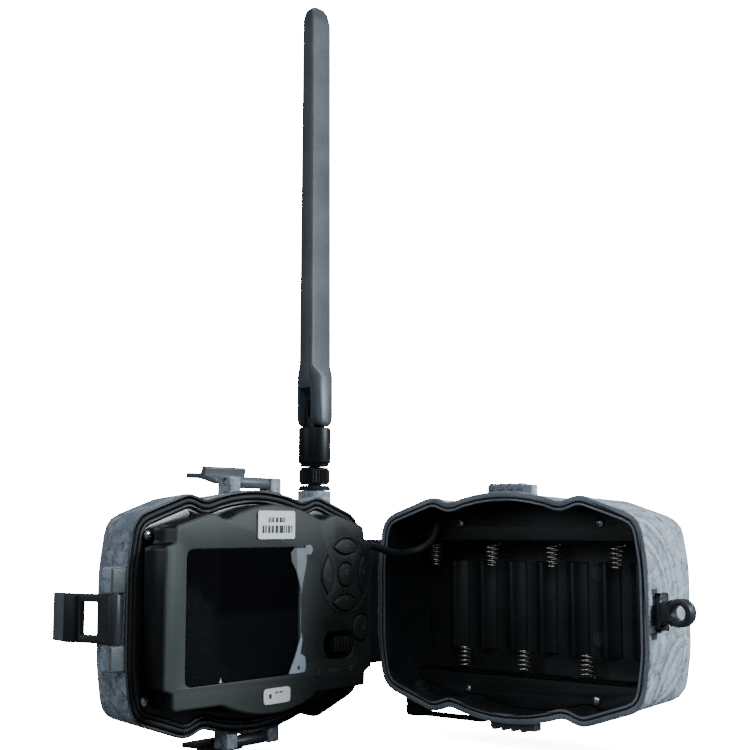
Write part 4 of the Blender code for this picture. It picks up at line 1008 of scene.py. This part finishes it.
class TRAILCAM_OT_antenna(bpy.types.Operator):
    """Knurled nut, swivel and folding blade"""
    bl_idname = "trailcam.antenna"
    bl_label = "Antenna"

    def execute(self, context):
        dress("antenna_socket", "antenna_black")
        self.nut()
        bm = cad_mesh("antenna_swivel")
        soften(bm, 0.25)
        piece("swivel_body", bm, "antenna_swivel", "antenna_black", ["antenna_swivel"])
        bm = cad_mesh("antenna_blade")
        soften(bm, 0.35, angle=34)
        piece("blade_moulding", bm, "antenna_blade", "blade_black", ["antenna_blade"])
        return {"FINISHED"}

    def nut(self):
        """Nut with upright knurls between two plain collars."""
        ribs, full, collar, bore, dent = 34, 6.6, 5.9, 3.3, 0.42
        bm = bmesh.new()
        outer = bmesh.ops.create_cone(bm, cap_ends=False, segments=ribs * 4, radius1=full, radius2=full,
                                      depth=5.4)["verts"]
        for vert in outer:
            angle = math.atan2(vert.co.y, vert.co.x)
            vert.co.xy *= 1 - dent * (0.5 - 0.5 * math.cos(angle * ribs)) ** 0.6 / full
        rims = []
        for end in (1, -1):
            loop = [e for e in bm.edges if e.is_boundary and all(v.co.z * end > 0 for v in e.verts)]
            for radius, rise in ((collar, 0.15), (collar, 0.75), (bore, 0.0)):
                made = bmesh.ops.extrude_edge_only(bm, edges=loop)
                verts = new_verts(made)
                for vert in verts:
                    vert.co.xy = vert.co.xy.normalized() * radius
                bmesh.ops.translate(bm, verts=verts, vec=(0, 0, rise * end))
                loop = edges_within(made, verts)
            rims += loop
        bmesh.ops.bridge_loops(bm, edges=rims)
        bmesh.ops.recalc_face_normals(bm, faces=bm.faces)
        moved(bm, Matrix.Translation(middle("antenna_nut")))
        piece("knurled_nut", bm, "antenna_nut", "antenna_black", ["antenna_nut"], smooth=24)


class TRAILCAM_OT_optics(bpy.types.Operator):
    """Lens, infrared window and motion sensor on the camera side"""
    bl_idname = "trailcam.optics"
    bl_label = "Optics"

    def execute(self, context):
        bm = cad_mesh("lens_barrel")
        soften(bm, 0.3)
        piece("lens_ring", bm, "camera_housing", "latch_black", ["lens_barrel"])
        dress("lens_glass", "screen_glass")
        dress("infrared_window", "screen_glass")
        dress("sensor_lens", "frosted")
        return {"FINISHED"}


class TRAILCAM_OT_stage(bpy.types.Operator):
    """Pale floor, soft lights and white surroundings"""
    bl_idname = "trailcam.stage"
    bl_label = "Studio"

    def execute(self, context):
        low = CAD_BOX[0]
        bm = bmesh.new()
        bmesh.ops.create_grid(bm, x_segments=1, y_segments=1, size=6.0)
        bmesh.ops.translate(bm, verts=bm.verts, vec=(0, 0, low[2] - 0.0005))
        mesh = bpy.data.meshes.new("studio_floor")
        bm.to_mesh(mesh)
        bm.free()
        mesh.materials.append(finish_for("backdrop"))
        floor = bpy.data.objects.new("studio_floor", mesh)
        context.scene.collection.objects.link(floor)
        for lamp in LIGHTS:
            self.light(*lamp)
        world = bpy.data.worlds.new("white_surroundings")
        world.use_nodes = True
        wire = Wire(world.node_tree)
        seen = wire.node("ShaderNodeLightPath")
        ground = world.node_tree.nodes["Background"]
        world.node_tree.links.new((seen * WHITE + (1 - seen) * 0.14).socket, ground.inputs["Strength"])
        world.node_tree.links.new(seen.blend((0.82, 0.90, 1.0), (1, 1, 1)).socket, ground.inputs["Color"])
        context.scene.world = world
        return {"FINISHED"}

    def light(self, name, place, size, power):
        data = bpy.data.lights.new(name, "AREA")
        data.size = size
        data.energy = power
        data.color = (0.84, 0.93, 1.0)
        lamp = bpy.data.objects.new(name, data)
        aim = Vector((-0.02, -0.1, 0.02)) - Vector(place)
        lamp.matrix_world = Matrix.Translation(place) @ aim.to_track_quat("-Z", "Y").to_matrix().to_4x4()
        bpy.context.scene.collection.objects.link(lamp)


OPERATORS = (TRAILCAM_OT_camera, TRAILCAM_OT_cable, TRAILCAM_OT_housings, TRAILCAM_OT_gasket, TRAILCAM_OT_panel,
             TRAILCAM_OT_screen, TRAILCAM_OT_buttons, TRAILCAM_OT_battery_bay, TRAILCAM_OT_fasteners,
             TRAILCAM_OT_rear_fittings, TRAILCAM_OT_latches, TRAILCAM_OT_antenna, TRAILCAM_OT_optics,
             TRAILCAM_OT_stage)
SETTINGS = {"bark_settings": BarkSettings, "plastic_settings": PlasticSettings, "spring_settings": SpringSettings,
            "studio_settings": StudioSettings}


class TRAILCAM_PT_sidebar(bpy.types.Panel):
    """Lists the settings and the pieces in the 3D view's sidebar"""
    bl_idname = "TRAILCAM_PT_sidebar"
    bl_label = "Trail Camera"
    bl_space_type = "VIEW_3D"
    bl_region_type = "UI"
    bl_category = "Trail Camera"

    def draw(self, context):
        for name, group in SETTINGS.items():
            box = self.layout.box()
            box.label(text=name.replace("_", " ").capitalize())
            for prop in group.__annotations__:
                box.prop(getattr(context.scene, name), prop)
        for operator in OPERATORS:
            self.layout.operator(operator.bl_idname)


def register():
    for name, group in SETTINGS.items():
        bpy.utils.register_class(group)
        setattr(bpy.types.Scene, name, bpy.props.PointerProperty(type=group))
    for cls in (*OPERATORS, TRAILCAM_PT_sidebar):
        bpy.utils.register_class(cls)


def unregister():
    for cls in (TRAILCAM_PT_sidebar, *reversed(OPERATORS)):
        bpy.utils.unregister_class(cls)
    for name, group in SETTINGS.items():
        delattr(bpy.types.Scene, name)
        bpy.utils.unregister_class(group)


def main():
    register()
    for operator in OPERATORS:
        group, name = operator.bl_idname.split(".")
        getattr(getattr(bpy.ops, group), name)()


if __name__ == "__main__":
    main()
